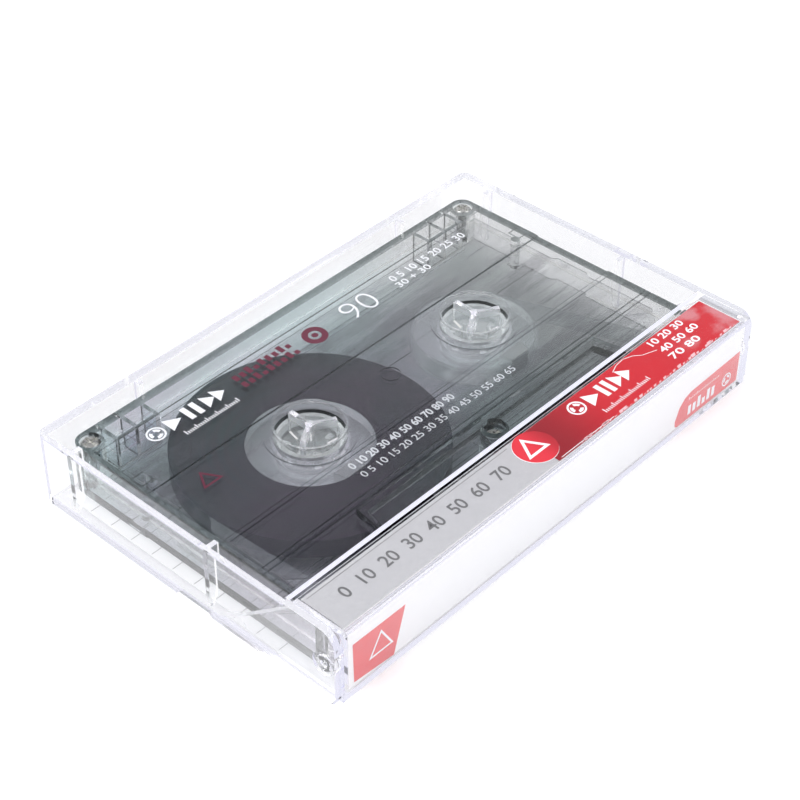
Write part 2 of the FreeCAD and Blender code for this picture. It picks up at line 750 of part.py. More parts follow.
def make_shell_half(label, side):
    """side is 1 for the upper half and -1 for the lower half."""
    body = new_body(label)

    def level(height):
        return mid_plane + as_size(height) * side

    seam = level(size.seam_gap / 2)

    def both_ends(x, y):
        return ((-x, y), (x, y))

    add_layer(body, "flat_part", seam, level(face_level), draw_box_outline(as_size(0)))
    round_edges(body, "corners", size.shell_corner, lambda edge: runs_along(edge, 2))
    add_layer(body, "nose", level(plate_level), level(nose_level), draw_nose(as_size(0)))
    cut_layer(body, "cavity", level(0), level(plate_level), draw_box_outline(size.shell_wall))
    cut_layer(body, "nose_cavity", level(0), level(nose_plate_level), draw_nose(size.shell_wall))

    # Bosses, pillars and thin walls stand on the plate and end on the middle plane
    corner_spots = SCREW_SPOTS[:4]
    add_layer(body, "corner_bosses", level(plate_level + size.shell_plate / 2), seam,
              draw_circles(corner_spots, size.boss_radius))
    add_layer(body, "middle_boss", level(nose_plate_level + size.shell_plate / 2), seam,
              draw_circles(SCREW_SPOTS[4:], size.boss_radius))
    pillars = both_ends(pillar_x, pillar_y)
    add_layer(body, "pillars", level(plate_level + size.shell_plate / 2), seam,
              draw_circles(pillars, size.pillar_radius))
    for name, end in (("left_cells", -1), ("right_cells", 1)):
        add_layer(body, name, level(plate_level + size.shell_plate / 2), seam,
                  draw_cells(end))
    for name, end in (("left_cheek", -1), ("right_cheek", 1)):
        add_layer(body, name, level(nose_plate_level + size.shell_plate / 2), seam,
                  draw_cheek(end))

    def shield_bar(sketch):
        draw_rectangle(
            sketch, -shield_half / 2, shield_front,
            shield_half / 2, shield_back + size.shield_lip / 2)

    bar_end = size.shield_height / 2 + size.run_play
    add_layer(body, "shield_bar", level(nose_plate_level + size.shell_plate / 2),
              level(bar_end), shield_bar)
    rollers = both_ends(roller_x, roller_y)
    add_layer(body, "pin_bosses", level(plate_level + size.shell_plate / 2),
              level(plate_level - size.pin_boss_height),
              draw_circles(rollers, size.pin_boss_radius))
    cut_layer(body, "pin_seats", level(plate_level - size.pin_boss_height),
              level(plate_level), draw_circles(rollers, size.pin_radius + size.close_play))

    # The recessed band crosses the face, and a ring step stays round each hub hole
    def band(sketch):
        low = hub_y - ring_step_radius - size.band_front_rim
        high = hub_y + ring_step_radius + size.band_back_rim
        draw_rectangle(sketch, -shell_half_x - size.shell_wall, low,
                       shell_half_x + size.shell_wall, high)
        for x, y in both_ends(hub_x, hub_y):
            draw_circle(sketch, x, y, ring_step_radius)

    band_floor = face_level - size.band_depth
    cut_layer(body, "band", level(face_level), level(band_floor), band)

    # Grooves frame the label, a square lies beside each pillar, a ring between the hubs
    def face_grooves(sketch):
        label_y = shell_half_y - size.label_line
        label_end = cell_outer + size.cell_wall
        draw_rectangle(sketch, -label_end, label_y, label_end, label_y + size.label_groove)
        past_end = shell_half_x + size.shell_wall
        for front in (size.front_line, size.front_line - size.front_line_step):
            line = -shell_half_y + front
            draw_rectangle(sketch, -past_end, line, past_end, line + size.label_groove)
        outer = shell_half_x - size.square_mark_inset
        low = pillar_y - size.pillar_radius
        for end in (-1, 1):
            for inset in (as_size(0), size.label_groove):
                draw_polygon(sketch, [(x * end, y) for x, y in (
                    (outer - inset, low + inset),
                    (outer - inset, low + size.square_mark - inset),
                    (outer - size.square_mark + inset, low + size.square_mark - inset),
                    (outer - size.square_mark + inset, low + inset),
                )])

    def ring_mark(sketch):
        centre = hub_y + size.ring_mark_offset
        draw_circle(sketch, as_size(0), centre, size.ring_mark_radius)
        draw_circle(sketch, as_size(0), centre, size.ring_mark_radius - size.label_groove)

    cut_layer(body, "face_grooves", level(face_level),
              level(face_level - size.label_groove), face_grooves)
    cut_layer(body, "ring_mark", level(band_floor),
              level(band_floor - size.label_groove), ring_mark)

    # Openings through the plates and the front edge
    through = level(nose_level + CAVITY_CUT_OVERRUN)
    cut_layer(body, "hub_holes", level(0), through,
              draw_circles(both_ends(hub_x, hub_y), hub_hole_radius))
    cut_layer(body, "drive_holes", level(0), through,
              draw_circles(both_ends(pinch_x, nose_hole_y), size.drive_hole_radius))
    cut_layer(body, "locating_holes", level(0), through,
              draw_circles(both_ends(guide_x, nose_hole_y), size.locate_hole_radius))

    def windows(sketch):
        low = -shell_half_y - size.shell_wall
        high = front_inner
        openings = (
            (as_size(0), size.head_window),
            (-pinch_x, size.pinch_window),
            (pinch_x, size.pinch_window),
            (-guide_x, size.guide_window),
            (guide_x, size.guide_window),
        )
        for centre, width in openings:
            draw_rectangle(sketch, centre - width / 2, low, centre + width / 2, high)

    cut_layer(body, "front_windows", level(0), level(size.window_height / 2), windows)

    # A slit on three sides leaves a small tab in the back wall, one beside each corner
    def tab_slit(sketch):
        for end in (-1, 1):
            centre = (cell_middle + cell_outer) / 2
            near = centre - size.tab_length / 2 + size.tab_slit
            far = centre + size.tab_length / 2 - size.tab_slit
            back = shell_half_y + size.shell_wall
            front = shell_half_y - size.shell_wall
            for low_x, high_x in ((near - size.tab_slit, near), (far, far + size.tab_slit)):
                spots = ((low_x, front), (high_x, front), (high_x, back), (low_x, back))
                draw_polygon(sketch, [(x * end, y) for x, y in spots])

    cut_layer(body, "tab_slits", level(0), level(plate_level - size.tab_slit), tab_slit)

    # Screw holes: a sunk seat and a clearance hole above, a close hole below
    if side > 0:
        cut_layer(body, "screw_holes", level(0), through,
                  draw_circles(SCREW_SPOTS, size.screw_shank_radius + size.screw_play))
        cut_layer(body, "screw_seats", level(screw_seat), through,
                  draw_circles(SCREW_SPOTS, size.screw_head_radius + size.screw_play))
    else:
        bottom = screw_seat - size.screw_length - size.screw_play
        cut_layer(body, "screw_holes", level(0), mid_plane + bottom,
                  draw_circles(SCREW_SPOTS, size.screw_shank_radius + size.close_play))
    return body


# The shell's five screws, alike, with a cross recess in a bevelled head

def draw_screw_half(sketch):
    """Half the screw's section, beside its axis, with the seat at height zero."""
    shank = size.screw_shank_radius
    tip = -size.screw_length
    draw_polygon(sketch, (
        (0, tip), (shank - size.screw_point, tip), (shank, tip + size.screw_point), (shank, 0),
        (size.screw_head_radius, 0),
        (size.screw_head_radius, size.screw_head_height - size.screw_bevel),
        (size.screw_head_radius - size.screw_bevel, size.screw_head_height),
        (0, size.screw_head_height),
    ))


def draw_cross(sketch, x, y):
    arm = size.screw_cross_width / 2
    reach = size.screw_cross_reach
    corners = (
        (-arm, -reach), (arm, -reach), (arm, -arm), (reach, -arm), (reach, arm), (arm, arm),
        (arm, reach), (-arm, reach), (-arm, arm), (-reach, arm), (-reach, -arm), (-arm, -arm),
    )
    draw_polygon(sketch, [(x + along, y + across) for along, across in corners])


def make_shell_screws():
    body = new_body("shell_screws")
    body.AllowCompound = True
    seat = mid_plane + screw_seat
    head_top = seat + size.screw_head_height
    for number, (x, y) in enumerate(SCREW_SPOTS, start=1):
        sketch = new_sketch(body, "screw_%d_section" % number, "XZ_Plane", 0)
        sketch.AttachmentOffset = FreeCAD.Placement(
            Vector(x.value, seat.value, -y.value), FreeCAD.Rotation())
        bind(sketch, "AttachmentOffset.Base.x", x)
        bind(sketch, "AttachmentOffset.Base.y", seat)
        bind(sketch, "AttachmentOffset.Base.z", -y)
        draw_screw_half(sketch)
        turned = body.newObject("PartDesign::Revolution", "screw_%d" % number)
        turned.Profile = sketch
        turned.ReferenceAxis = (sketch, ["V_Axis"])
        turned.Angle = 360

    def crosses(sketch):
        for x, y in SCREW_SPOTS:
            draw_cross(sketch, x, y)

    cut_layer(body, "cross_recesses", head_top, head_top - size.screw_cross_depth, crosses)
    return body


# What turns with each spool: toothed hub, its clamp and the wound tape

def draw_wedge(sketch, x, outer, inner, play):
    """A wedge, wider inside than at the rim, pointing to -Y from the hub's axis."""
    narrow = size.clamp_width / 2 - play
    wide = narrow + size.clamp_flare
    draw_polygon(sketch, (
        (x - wide, hub_y - inner), (x - narrow, hub_y - outer),
        (x + narrow, hub_y - outer), (x + wide, hub_y - inner)))


def make_hub(label, x):
    body = new_body(label)
    disc_low = mid_plane - size.hub_thick / 2
    disc_high = mid_plane + size.hub_thick / 2

    def ring(outer, inner):
        def draw(sketch):
            draw_circle(sketch, x, hub_y, outer)
            draw_circle(sketch, x, hub_y, inner)
        return draw

    add_layer(body, "disc", disc_low, disc_high, ring(size.hub_radius, size.hub_bore_radius))
    add_layer(body, "neck", mid_plane - size.hub_tube_length / 2,
              mid_plane + size.hub_tube_length / 2,
              ring(hub_tube_radius, size.hub_bore_radius))

    def tooth(sketch):
        root = (size.hub_bore_radius + hub_tube_radius) / 2
        half = size.tooth_width / 2
        draw_polygon(sketch, (
            (root, -half), (root, half), (size.tooth_tip_radius, half / 2),
            (size.tooth_tip_radius, -half / 2)))

    tooth_low = mid_plane - size.tooth_height / 2
    sketch = new_sketch(body, "tooth_outline", "XY_Plane", tooth_low)
    sketch.AttachmentOffset = FreeCAD.Placement(
        Vector(x.value, hub_y.value, tooth_low.value), FreeCAD.Rotation())
    bind(sketch, "AttachmentOffset.Base.x", x)
    bind(sketch, "AttachmentOffset.Base.y", hub_y)
    bind(sketch, "AttachmentOffset.Base.z", tooth_low)
    tooth(sketch)
    pad = body.newObject("PartDesign::Pad", "tooth")
    pad.Profile = sketch
    pad.Length = size.tooth_height.value
    bind(pad, "Length", size.tooth_height)
    pattern = body.newObject("PartDesign::PolarPattern", "teeth")
    pattern.Originals = [pad]
    pattern.Axis = (sketch, ["N_Axis"])
    pattern.Angle = 360
    pattern.Occurrences = TOOTH_COUNT
    body.Tip = pattern

    def clamp_slot(sketch):
        draw_wedge(sketch, x, size.hub_radius + size.clamp_play,
                   size.hub_radius - size.clamp_depth, as_size(0))

    cut_layer(body, "clamp_slot", disc_low, disc_high, clamp_slot)
    return body


def make_hub_clamp(label, x):
    body = new_body(label)

    def wedge(sketch):
        draw_wedge(sketch, x, size.hub_radius - size.clamp_sink,
                   size.hub_radius - size.clamp_depth + size.clamp_play, size.clamp_play)

    add_layer(body, "wedge", mid_plane - size.hub_thick / 2,
              mid_plane + size.hub_thick / 2, wedge)
    return body


def make_tape_pack(label, x, radius):
    body = new_body(label)

    def ring(sketch):
        draw_circle(sketch, x, hub_y, radius)
        draw_circle(sketch, x, hub_y, size.hub_radius + size.pack_play)

    add_layer(body, "wound_tape", mid_plane - size.tape_width / 2,
              mid_plane + size.tape_width / 2, ring)
    return body


# The free tape: from the full pack round both guide rollers to the other hub

def outer_tangent(centre_a, radius_a, centre_b, radius_b, side):
    """Ends of the straight line that touches both circles on the given side."""
    span = centre_b - centre_a
    heading = math.atan2(span.y, span.x)
    lean = math.acos((radius_a - radius_b) / span.Length)
    angle = heading + side * lean
    direction = Vector(math.cos(angle), math.sin(angle), 0)
    return centre_a + direction * radius_a, centre_b + direction * radius_b


def draw_tape_face(sketch, play):
    """One face of the free tape, as far as play from what turns. Returns its two end lines."""
    bend = (size.roller_radius + play).value
    left_hub = Vector(-hub_x.value, hub_y.value, 0)
    right_hub = Vector(hub_x.value, hub_y.value, 0)
    left_roller = Vector(-roller_x.value, roller_y.value, 0)
    right_roller = Vector(roller_x.value, roller_y.value, 0)
    start, roller_in = outer_tangent(
        left_hub, (full_radius + play).value, left_roller, bend, -1)
    end, roller_out = outer_tangent(
        right_hub, (start_radius + play).value, right_roller, bend, 1)
    low = Vector(0, -bend, 0)

    def bend_arc(centre, first, last):
        ends = [math.atan2((spot - centre).y, (spot - centre).x) for spot in (first, last)]
        return Part.ArcOfCircle(Part.Circle(centre, Vector(0, 0, 1), bend), ends[0], ends[1])

    path = [sketch.addGeometry(piece, False) for piece in (
        Part.LineSegment(start, roller_in),
        bend_arc(left_roller, roller_in, left_roller + low),
        Part.LineSegment(left_roller + low, right_roller + low),
        bend_arc(right_roller, right_roller + low, roller_out),
        Part.LineSegment(roller_out, end),
    )]
    for piece, following in zip(path, path[1:]):
        sketch.addConstraint(Sketcher.Constraint("Tangent", piece, 2, following, 1))
    for arc, x in ((path[1], -roller_x), (path[3], roller_x)):
        pin_point(sketch, arc, 3, x, roller_y)
        index = sketch.addConstraint(Sketcher.Constraint("Radius", arc, bend))
        bind(sketch, "Constraints[%d]" % index, size.roller_radius + play)
    draw_circle(sketch, -hub_x, hub_y, full_radius + play, guide=True)
    sketch.addConstraint(Sketcher.Constraint("Tangent", path[0], 1, sketch.GeometryCount - 1))
    draw_circle(sketch, hub_x, hub_y, start_radius + play, guide=True)
    sketch.addConstraint(Sketcher.Constraint("Tangent", path[4], 2, sketch.GeometryCount - 1))
    return path[0], path[4]


def make_tape_run():
    body = new_body("tape_run")

    def strip(sketch):
        inner_first, inner_last = draw_tape_face(sketch, size.run_play)
        outer_first, outer_last = draw_tape_face(sketch, size.run_play + size.tape_thick)
        for inner, outer, end in ((inner_first, outer_first, 1), (inner_last, outer_last, 2)):
            spots = [sketch.getPoint(line, end) for line in (inner, outer)]
            closing = sketch.addGeometry(Part.LineSegment(spots[0], spots[1]), False)
            sketch.addConstraint(Sketcher.Constraint("Coincident", closing, 1, inner, end))
            sketch.addConstraint(Sketcher.Constraint("Coincident", closing, 2, outer, end))

    add_layer(body, "strip", mid_plane - size.tape_width / 2,
              mid_plane + size.tape_width / 2, strip)
    return body


# Guide rollers and the pins that carry them

def make_roller(label, x):
    body = new_body(label)
    low = mid_plane - size.roller_height / 2
    high = mid_plane + size.roller_height / 2

    def ring(sketch):
        draw_circle(sketch, x, roller_y, size.roller_radius)
        draw_circle(sketch, x, roller_y, size.pin_radius + size.pin_play)

    add_layer(body, "roller", low, high, ring)
    return body


def make_roller_pin(label, x):
    body = new_body(label)
    reach = plate_level - size.close_play

    def disc(sketch):
        draw_circle(sketch, x, roller_y, size.pin_radius)

    add_layer(body, "pin", mid_plane - reach, mid_plane + reach, disc)
    return body


# The pressure pad: felt on a leaf spring, with a shield plate behind

def make_felt_pad():
    body = new_body("felt_pad")
    half = size.felt_length / 2

    def block(sketch):
        draw_rectangle(sketch, -half, felt_front, half, felt_back)

    add_layer(body, "felt", mid_plane - size.felt_height / 2,
              mid_plane + size.felt_height / 2, block)
    round_edges(body, "worn_edges", size.felt_round,
                lambda edge: runs_along(edge, 2) and is_near(middle(edge).y, felt_front.value))
    return body


def make_pad_spring():
    body = new_body("pad_spring")
    seat = size.spring_seat_half
    end = size.spring_half
    knee = end - size.spring_sweep

    def strip(sketch):
        near = felt_back
        far = spring_end_front
        thick = size.spring_thick
        draw_polygon(sketch, (
            (-seat, near), (seat, near), (knee, far), (end, far), (end, far + thick),
            (knee, far + thick), (seat, near + thick), (-seat, near + thick),
            (-knee, far + thick), (-end, far + thick), (-end, far), (-knee, far),
        ))

    add_layer(body, "leaf", mid_plane - size.spring_height / 2,
              mid_plane + size.spring_height / 2, strip)
    return body


def make_shield_plate():
    body = new_body("shield_plate")
    half = shield_half
    thick = size.shield_thick

    def channel(sketch):
        back = shield_front + size.shield_lip
        draw_polygon(sketch, (
            (-half, shield_front), (half, shield_front), (half, back), (half - thick, back),
            (half - thick, shield_back), (-half + thick, shield_back),
            (-half + thick, back), (-half, back),
        ))

    add_layer(body, "plate", mid_plane - size.shield_height / 2,
              mid_plane + size.shield_height / 2, channel)
    return body


# Slip sheets over and under the spools

def make_slip_sheet(label, side):
    body = new_body(label)
    near = mid_plane + size.slip_level * side
    far = mid_plane + (size.slip_level + size.slip_thick) * side
    half = shell_half_x - size.shell_wall - size.slip_end_gap
    tab_end = half + size.slip_tab_reach
    tab_front = hub_y - size.slip_tab_front
    tab_back = hub_y + size.slip_tab_back
    front = -shell_half_y + size.slip_front
    back = cell_front - size.slip_back_gap
    boss_half = size.boss_radius + size.slip_margin
    boss_back = screw_mid_y + boss_half
    corner = half - size.slip_corner

    def outline(sketch):
        draw_polygon(sketch, (
            (-half, front + size.slip_corner), (-corner, front),
            (-boss_half, front), (-boss_half, boss_back), (boss_half, boss_back),
            (boss_half, front), (corner, front), (half, front + size.slip_corner),
            (half, tab_front), (tab_end, tab_front + size.slip_tab_reach),
            (tab_end, tab_back - size.slip_tab_reach), (half, tab_back),
            (half, back), (-half, back),
            (-half, tab_back), (-tab_end, tab_back - size.slip_tab_reach),
            (-tab_end, tab_front + size.slip_tab_reach), (-half, tab_front),
        ))

    add_layer(body, "sheet", near, far, outline)
    cut_layer(body, "hub_holes", near, far, draw_circles(
        ((-hub_x, hub_y), (hub_x, hub_y)), hub_tube_radius + size.slip_hole_play))
    cut_layer(body, "pillar_holes", near, far, draw_circles(
        ((-pillar_x, pillar_y), (pillar_x, pillar_y)),
        size.pillar_radius + size.slip_margin / 2))
    return body


def make_all_pieces():
    return [
        make_case_pocket(),
        make_case_tray(),
        make_inlay_card(),
        make_shell_half("shell_upper", 1),
        make_shell_half("shell_lower", -1),
        make_shell_screws(),
        make_hub("hub_left", -hub_x),
        make_hub("hub_right", hub_x),
        make_hub_clamp("hub_clamp_left", -hub_x),
        make_hub_clamp("hub_clamp_right", hub_x),
        make_tape_pack("tape_pack_left", -hub_x, full_radius),
        make_tape_pack("tape_pack_right", hub_x, start_radius),
        make_tape_run(),
        make_roller("roller_left", -roller_x),
        make_roller("roller_right", roller_x),
        make_roller_pin("roller_pin_left", -roller_x),
        make_roller_pin("roller_pin_right", roller_x),
        make_felt_pad(),
        make_pad_spring(),
        make_shield_plate(),
        make_slip_sheet("slip_sheet_upper", 1),
        make_slip_sheet("slip_sheet_lower", -1),
    ]


def check_document(pieces):
    """Stops on a failed feature, an empty cut or a piece that is no sound solid."""
    for thing in doc.Objects:
        if "Invalid" in thing.State or "Error" in thing.State:
            raise RuntimeError("%s failed: %s" % (thing.Name, thing.State))
        if thing.TypeId == "PartDesign::Pocket":
            removed = thing.BaseFeature.Shape.Volume - thing.Shape.Volume
            if removed < 1e-3:
                raise RuntimeError("%s cuts nothing" % thing.Name)
    for piece in pieces:
        if piece.Shape.isNull() or not piece.Shape.isValid():
            raise RuntimeError("%s has no sound shape" % piece.Label)


def write_pieces(pieces):
    os.makedirs("parts", exist_ok=True)
    for piece in pieces:
        piece.Shape.exportStep("parts/%s.step" % piece.Label)
        box = piece.Shape.BoundBox
        print("%-18s %2d solids %9.1f mm3  x %.2f..%.2f  y %.2f..%.2f  z %.2f..%.2f" % (
            piece.Label, len(piece.Shape.Solids), piece.Shape.Volume,
            box.XMin, box.XMax, box.YMin, box.YMax, box.ZMin, box.ZMax))


pieces = make_all_pieces()
doc.recompute()
check_document(pieces)
write_pieces(pieces)
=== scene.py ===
"""An audio cassette in its hinged clear case, dressed for a photograph on a white table."""

import math

import bmesh
import bpy
from mathutils import Matrix, Vector


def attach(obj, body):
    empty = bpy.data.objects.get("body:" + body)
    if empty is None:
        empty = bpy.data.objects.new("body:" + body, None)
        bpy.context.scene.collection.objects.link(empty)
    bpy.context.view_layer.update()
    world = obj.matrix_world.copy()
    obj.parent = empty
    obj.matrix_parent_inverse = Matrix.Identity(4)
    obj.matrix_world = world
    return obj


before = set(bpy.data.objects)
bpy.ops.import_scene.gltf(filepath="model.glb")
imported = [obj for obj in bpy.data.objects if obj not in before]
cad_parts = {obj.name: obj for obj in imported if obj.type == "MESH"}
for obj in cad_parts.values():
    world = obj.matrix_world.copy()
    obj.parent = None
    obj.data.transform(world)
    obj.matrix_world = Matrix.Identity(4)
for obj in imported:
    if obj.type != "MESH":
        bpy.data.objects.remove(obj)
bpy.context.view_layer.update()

MM = 0.001

# Sizes are in millimetres, and heights are from the table.
# Faces of the model that carry print, and the card's right edge
SHELL_FACE = 11.80
BAND_FACE = 11.55
FLAP_FACE = 13.95
SPINE_FACE = -33.65
CARD_FACE = 1.45
CARD_EDGE = 51.5

# Ink stands clear of its face, and one layer of ink clear of the next
INK_LIFT = 0.012
INK_THICK = 0.02
LAYER_GAP = 0.01

# Just inside the shell's outline, and where its rim, which carries painted shade, and its nose begin
SHELL_HALF_X = 49.8
SHELL_HALF_Y = 31.5
RIM_X = 48.9
RIM_Y = 30.9
RIM_LOW = 11.0
NOSE_FACE = 13.4

# Front edge of the tray's panel, the bounds of the painted glow along it, and the painted shade on the shell
# under the gap in front of it
TRAY_EDGE = -23.0
EDGE_SLACK = 0.03
EDGE_LOW = 13.9
EDGE_HIGH = 15.3
GAP_SHADE = (TRAY_EDGE - 1.6, TRAY_EDGE + 0.7)

# Dark lines painted across the shell's face as shade in its grooves and steps; the one at -5.8 has no groove
# under it
GROOVE_SHADE_PLACES = (26.1, 12.3, -4.8, -5.8, -13.8, -15.0)
LINE_HALF_WIDTH = 0.1
LINE_REACH = 48.8

# Centre of the two reels, the same distance either side of the middle
REEL_X = 21.25
REEL_Y = 3.4

# The posts in the reels and the rib round each, under the tray's panel
POST_RADIUS = 5.3
POST_FOOT = 4.5
POST_ROOT = 12.7
RIB_INNER = 6.0
RIB_OUTER = 6.6
RIB_FOOT = 13.4
UNDER_PANEL = 13.97

# Bounds that nothing in the model reaches
BELOW_ALL = -1
PAST_ALL = 60


# Node trees

def add(tree, kind, **values):
    """A new node with plain values on the sockets and properties that are named."""
    node = tree.nodes.new("ShaderNode" + kind)
    for key, value in values.items():
        name = key.replace("_", " ")
        if name in node.inputs:
            node.inputs[name].default_value = value
        else:
            setattr(node, key, value)
    return node


def link(tree, source, target):
    tree.links.new(source, target)


def number(tree, operation, *inputs):
    """A Math node, fed by sockets or plain numbers."""
    node = add(tree, "Math", operation=operation)
    for socket, value in zip(node.inputs, inputs):
        if isinstance(value, (int, float)):
            socket.default_value = value
        else:
            link(tree, value, socket)
    return node.outputs[0]


def ramp(tree, value, low, high, to_low=0.0, to_high=1.0):
    """A value mapped smoothly from one range to another."""
    node = add(tree, "MapRange", interpolation_type="SMOOTHSTEP")
    link(tree, value, node.inputs["Value"])
    node.inputs["From Min"].default_value = low
    node.inputs["From Max"].default_value = high
    node.inputs["To Min"].default_value = to_low
    node.inputs["To Max"].default_value = to_high
    return node.outputs["Result"]


def mixed(tree, share, first, second):
    """Two colours mixed by a share."""
    node = add(tree, "Mix", data_type="RGBA")
    for socket, value in zip((node.inputs["Factor"], node.inputs[6], node.inputs[7]), (share, first, second)):
        if isinstance(value, bpy.types.NodeSocket):
            link(tree, value, socket)
        elif isinstance(value, tuple):
            socket.default_value = (*value, 1)
        else:
            socket.default_value = value
    return node.outputs[2]


def object_point(tree):
    return add(tree, "TexCoord").outputs["Object"]


def split(tree, vector):
    node = add(tree, "SeparateXYZ")
    link(tree, vector, node.inputs[0])
    return node.outputs


# Shared effects

def new_group(name, inputs, outputs):
    """A shader node group with named number inputs and outputs, and a Vector input."""
    tree = bpy.data.node_groups.new(name, "ShaderNodeTree")
    tree.interface.new_socket("Vector", in_out="INPUT", socket_type="NodeSocketVector")
    for key, value in inputs.items():
        tree.interface.new_socket(key, in_out="INPUT", socket_type="NodeSocketFloat").default_value = value
    for key in outputs:
        tree.interface.new_socket(key, in_out="OUTPUT", socket_type="NodeSocketFloat")
    return tree, tree.nodes.new("NodeGroupInput"), tree.nodes.new("NodeGroupOutput")


def make_scuffs():
    """Hairline scratches in two directions, as handling leaves on polished plastic."""
    tree, given, result = new_group("hairline scuffs", {"Scale": 30.0, "Amount": 0.5}, ("Mask",))
    masks = []
    for turn, stretch in ((0.6, 26.0), (-0.9, 34.0)):
        turned = add(tree, "VectorRotate", rotation_type="Z_AXIS", Angle=turn)
        link(tree, given.outputs["Vector"], turned.inputs["Vector"])
        stretched = add(tree, "VectorMath", operation="MULTIPLY")
        link(tree, turned.outputs[0], stretched.inputs[0])
        stretched.inputs[1].default_value = (1, stretch, 1)
        noise = add(tree, "TexNoise", Detail=2.0, Roughness=0.6)
        link(tree, stretched.outputs[0], noise.inputs["Vector"])
        link(tree, given.outputs["Scale"], noise.inputs["Scale"])
        masks.append(ramp(tree, noise.outputs["Fac"], 0.66, 0.72))
    both = number(tree, "MAXIMUM", *masks)
    link(tree, number(tree, "MULTIPLY", both, given.outputs["Amount"]), result.inputs["Mask"])
    return tree


def make_smudges_and_sheen():
    """Soft cloudy patches, for finger marks, dusty film and uneven ink, and for the painted sheen on the tape
    and the shell.
    """
    tree, given, result = new_group("soft smudges", {"Scale": 60.0, "Low": 0.4, "High": 0.7}, ("Mask",))
    noise = add(tree, "TexNoise", Detail=4.0, Roughness=0.55)
    link(tree, given.outputs["Vector"], noise.inputs["Vector"])
    link(tree, given.outputs["Scale"], noise.inputs["Scale"])
    node = add(tree, "MapRange", interpolation_type="SMOOTHSTEP")
    link(tree, noise.outputs["Fac"], node.inputs["Value"])
    link(tree, given.outputs["Low"], node.inputs["From Min"])
    link(tree, given.outputs["High"], node.inputs["From Max"])
    link(tree, node.outputs["Result"], result.inputs["Mask"])
    return tree


def make_winding():
    """Rings round the two reels: the edges of the tape's turns, and the distance from the reel's axis."""
    tree, given, result = new_group("tape winding", {"Pitch": 0.0004}, ("Height", "Streaks", "Radius"))
    x, y = split(tree, given.outputs["Vector"])[:2]
    across = number(tree, "SUBTRACT", number(tree, "ABSOLUTE", x), REEL_X * MM)
    along = number(tree, "SUBTRACT", y, REEL_Y * MM)
    across_square = number(tree, "MULTIPLY", across, across)
    along_square = number(tree, "MULTIPLY", along, along)
    radius = number(tree, "SQRT", number(tree, "ADD", across_square, along_square))
    turns = number(tree, "DIVIDE", radius, given.outputs["Pitch"])
    noise = add(tree, "TexNoise", noise_dimensions="1D", Detail=3.0, Roughness=0.7, Scale=1.0)
    link(tree, turns, noise.inputs["W"])
    broad = add(tree, "TexNoise", noise_dimensions="1D", Detail=2.0, Scale=0.17)
    link(tree, turns, broad.inputs["W"])
    link(tree, noise.outputs["Fac"], result.inputs["Height"])
    link(tree, ramp(tree, broad.outputs["Fac"], 0.35, 0.65), result.inputs["Streaks"])
    link(tree, radius, result.inputs["Radius"])
    return tree


SCUFFS = make_scuffs()
SMUDGES_AND_SHEEN = make_smudges_and_sheen()
WINDING = make_winding()


def effect(tree, group, **values):
    """A shared effect placed in a material, read at the object's own coordinates."""
    node = tree.nodes.new("ShaderNodeGroup")
    node.node_tree = group
    for key, value in values.items():
        node.inputs[key].default_value = value
    link(tree, object_point(tree), node.inputs["Vector"])
    return node


# Materials

# Bounces after which a ray counts as trapped in a wall and meets its painted glow, and after which the world
# is white to it
TRAPPED_BOUNCES = 11
WHITE_BOUNCES = 6.5

# A face counts as upright when its normal rises less than this
STEEP = 0.5

SCUFF_DEPTH = 0.05


def finish(name, **values):
    """A material with one Principled shader and plain values on its sockets."""
    material = bpy.data.materials.new(name)
    material.use_nodes = True
    tree = material.node_tree
    shader = tree.nodes["Principled BSDF"]
    for key, value in values.items():
        if isinstance(value, tuple):
            value = (*value, 1)
        shader.inputs[key.replace("_", " ")].default_value = value
    return material, tree, shader


def bump(tree, shader, height, distance, strength=1.0):
    node = add(tree, "Bump", Strength=strength, Distance=distance)
    link(tree, height, node.inputs["Height"])
    link(tree, node.outputs[0], shader.inputs["Normal"])


def let_light_through(tree, shader, tint, painted_glow_colour):
    """Lamp rays and light scattered by matt things pass straight through, and the eye's rays bend. Past a
    number of bounces inside a wall a ray meets a painted glow of even tone, standing in for the light that
    runs along the wall."""
    out = tree.nodes["Material Output"]
    path = add(tree, "LightPath")
    clear = add(tree, "BsdfTransparent", Color=(*tint, 1))
    # Painted glow: a trapped ray ends in an emission of the given colour, lavender white on the case and near
    # black on the shell
    along = add(tree, "Emission", Color=(*painted_glow_colour, 1), Strength=1.0)
    trapped = add(tree, "MixShader")
    link(tree, number(tree, "GREATER_THAN", path.outputs["Ray Depth"], TRAPPED_BOUNCES), trapped.inputs[0])
    link(tree, shader.outputs[0], trapped.inputs[1])
    link(tree, along.outputs[0], trapped.inputs[2])
    for_lamps = add(tree, "MixShader")
    link(tree, path.outputs["Is Shadow Ray"], for_lamps.inputs[0])
    link(tree, trapped.outputs[0], for_lamps.inputs[1])
    link(tree, clear.outputs[0], for_lamps.inputs[2])
    for_matt = add(tree, "MixShader")
    link(tree, path.outputs["Is Diffuse Ray"], for_matt.inputs[0])
    link(tree, for_lamps.outputs[0], for_matt.inputs[1])
    link(tree, clear.outputs[0], for_matt.inputs[2])
    link(tree, for_matt.outputs[0], out.inputs["Surface"])


def fill_with(tree, colour, density):
    inside = add(tree, "VolumeAbsorption", Color=(*colour, 1), Density=density)
    link(tree, inside.outputs[0], tree.nodes["Material Output"].inputs["Volume"])


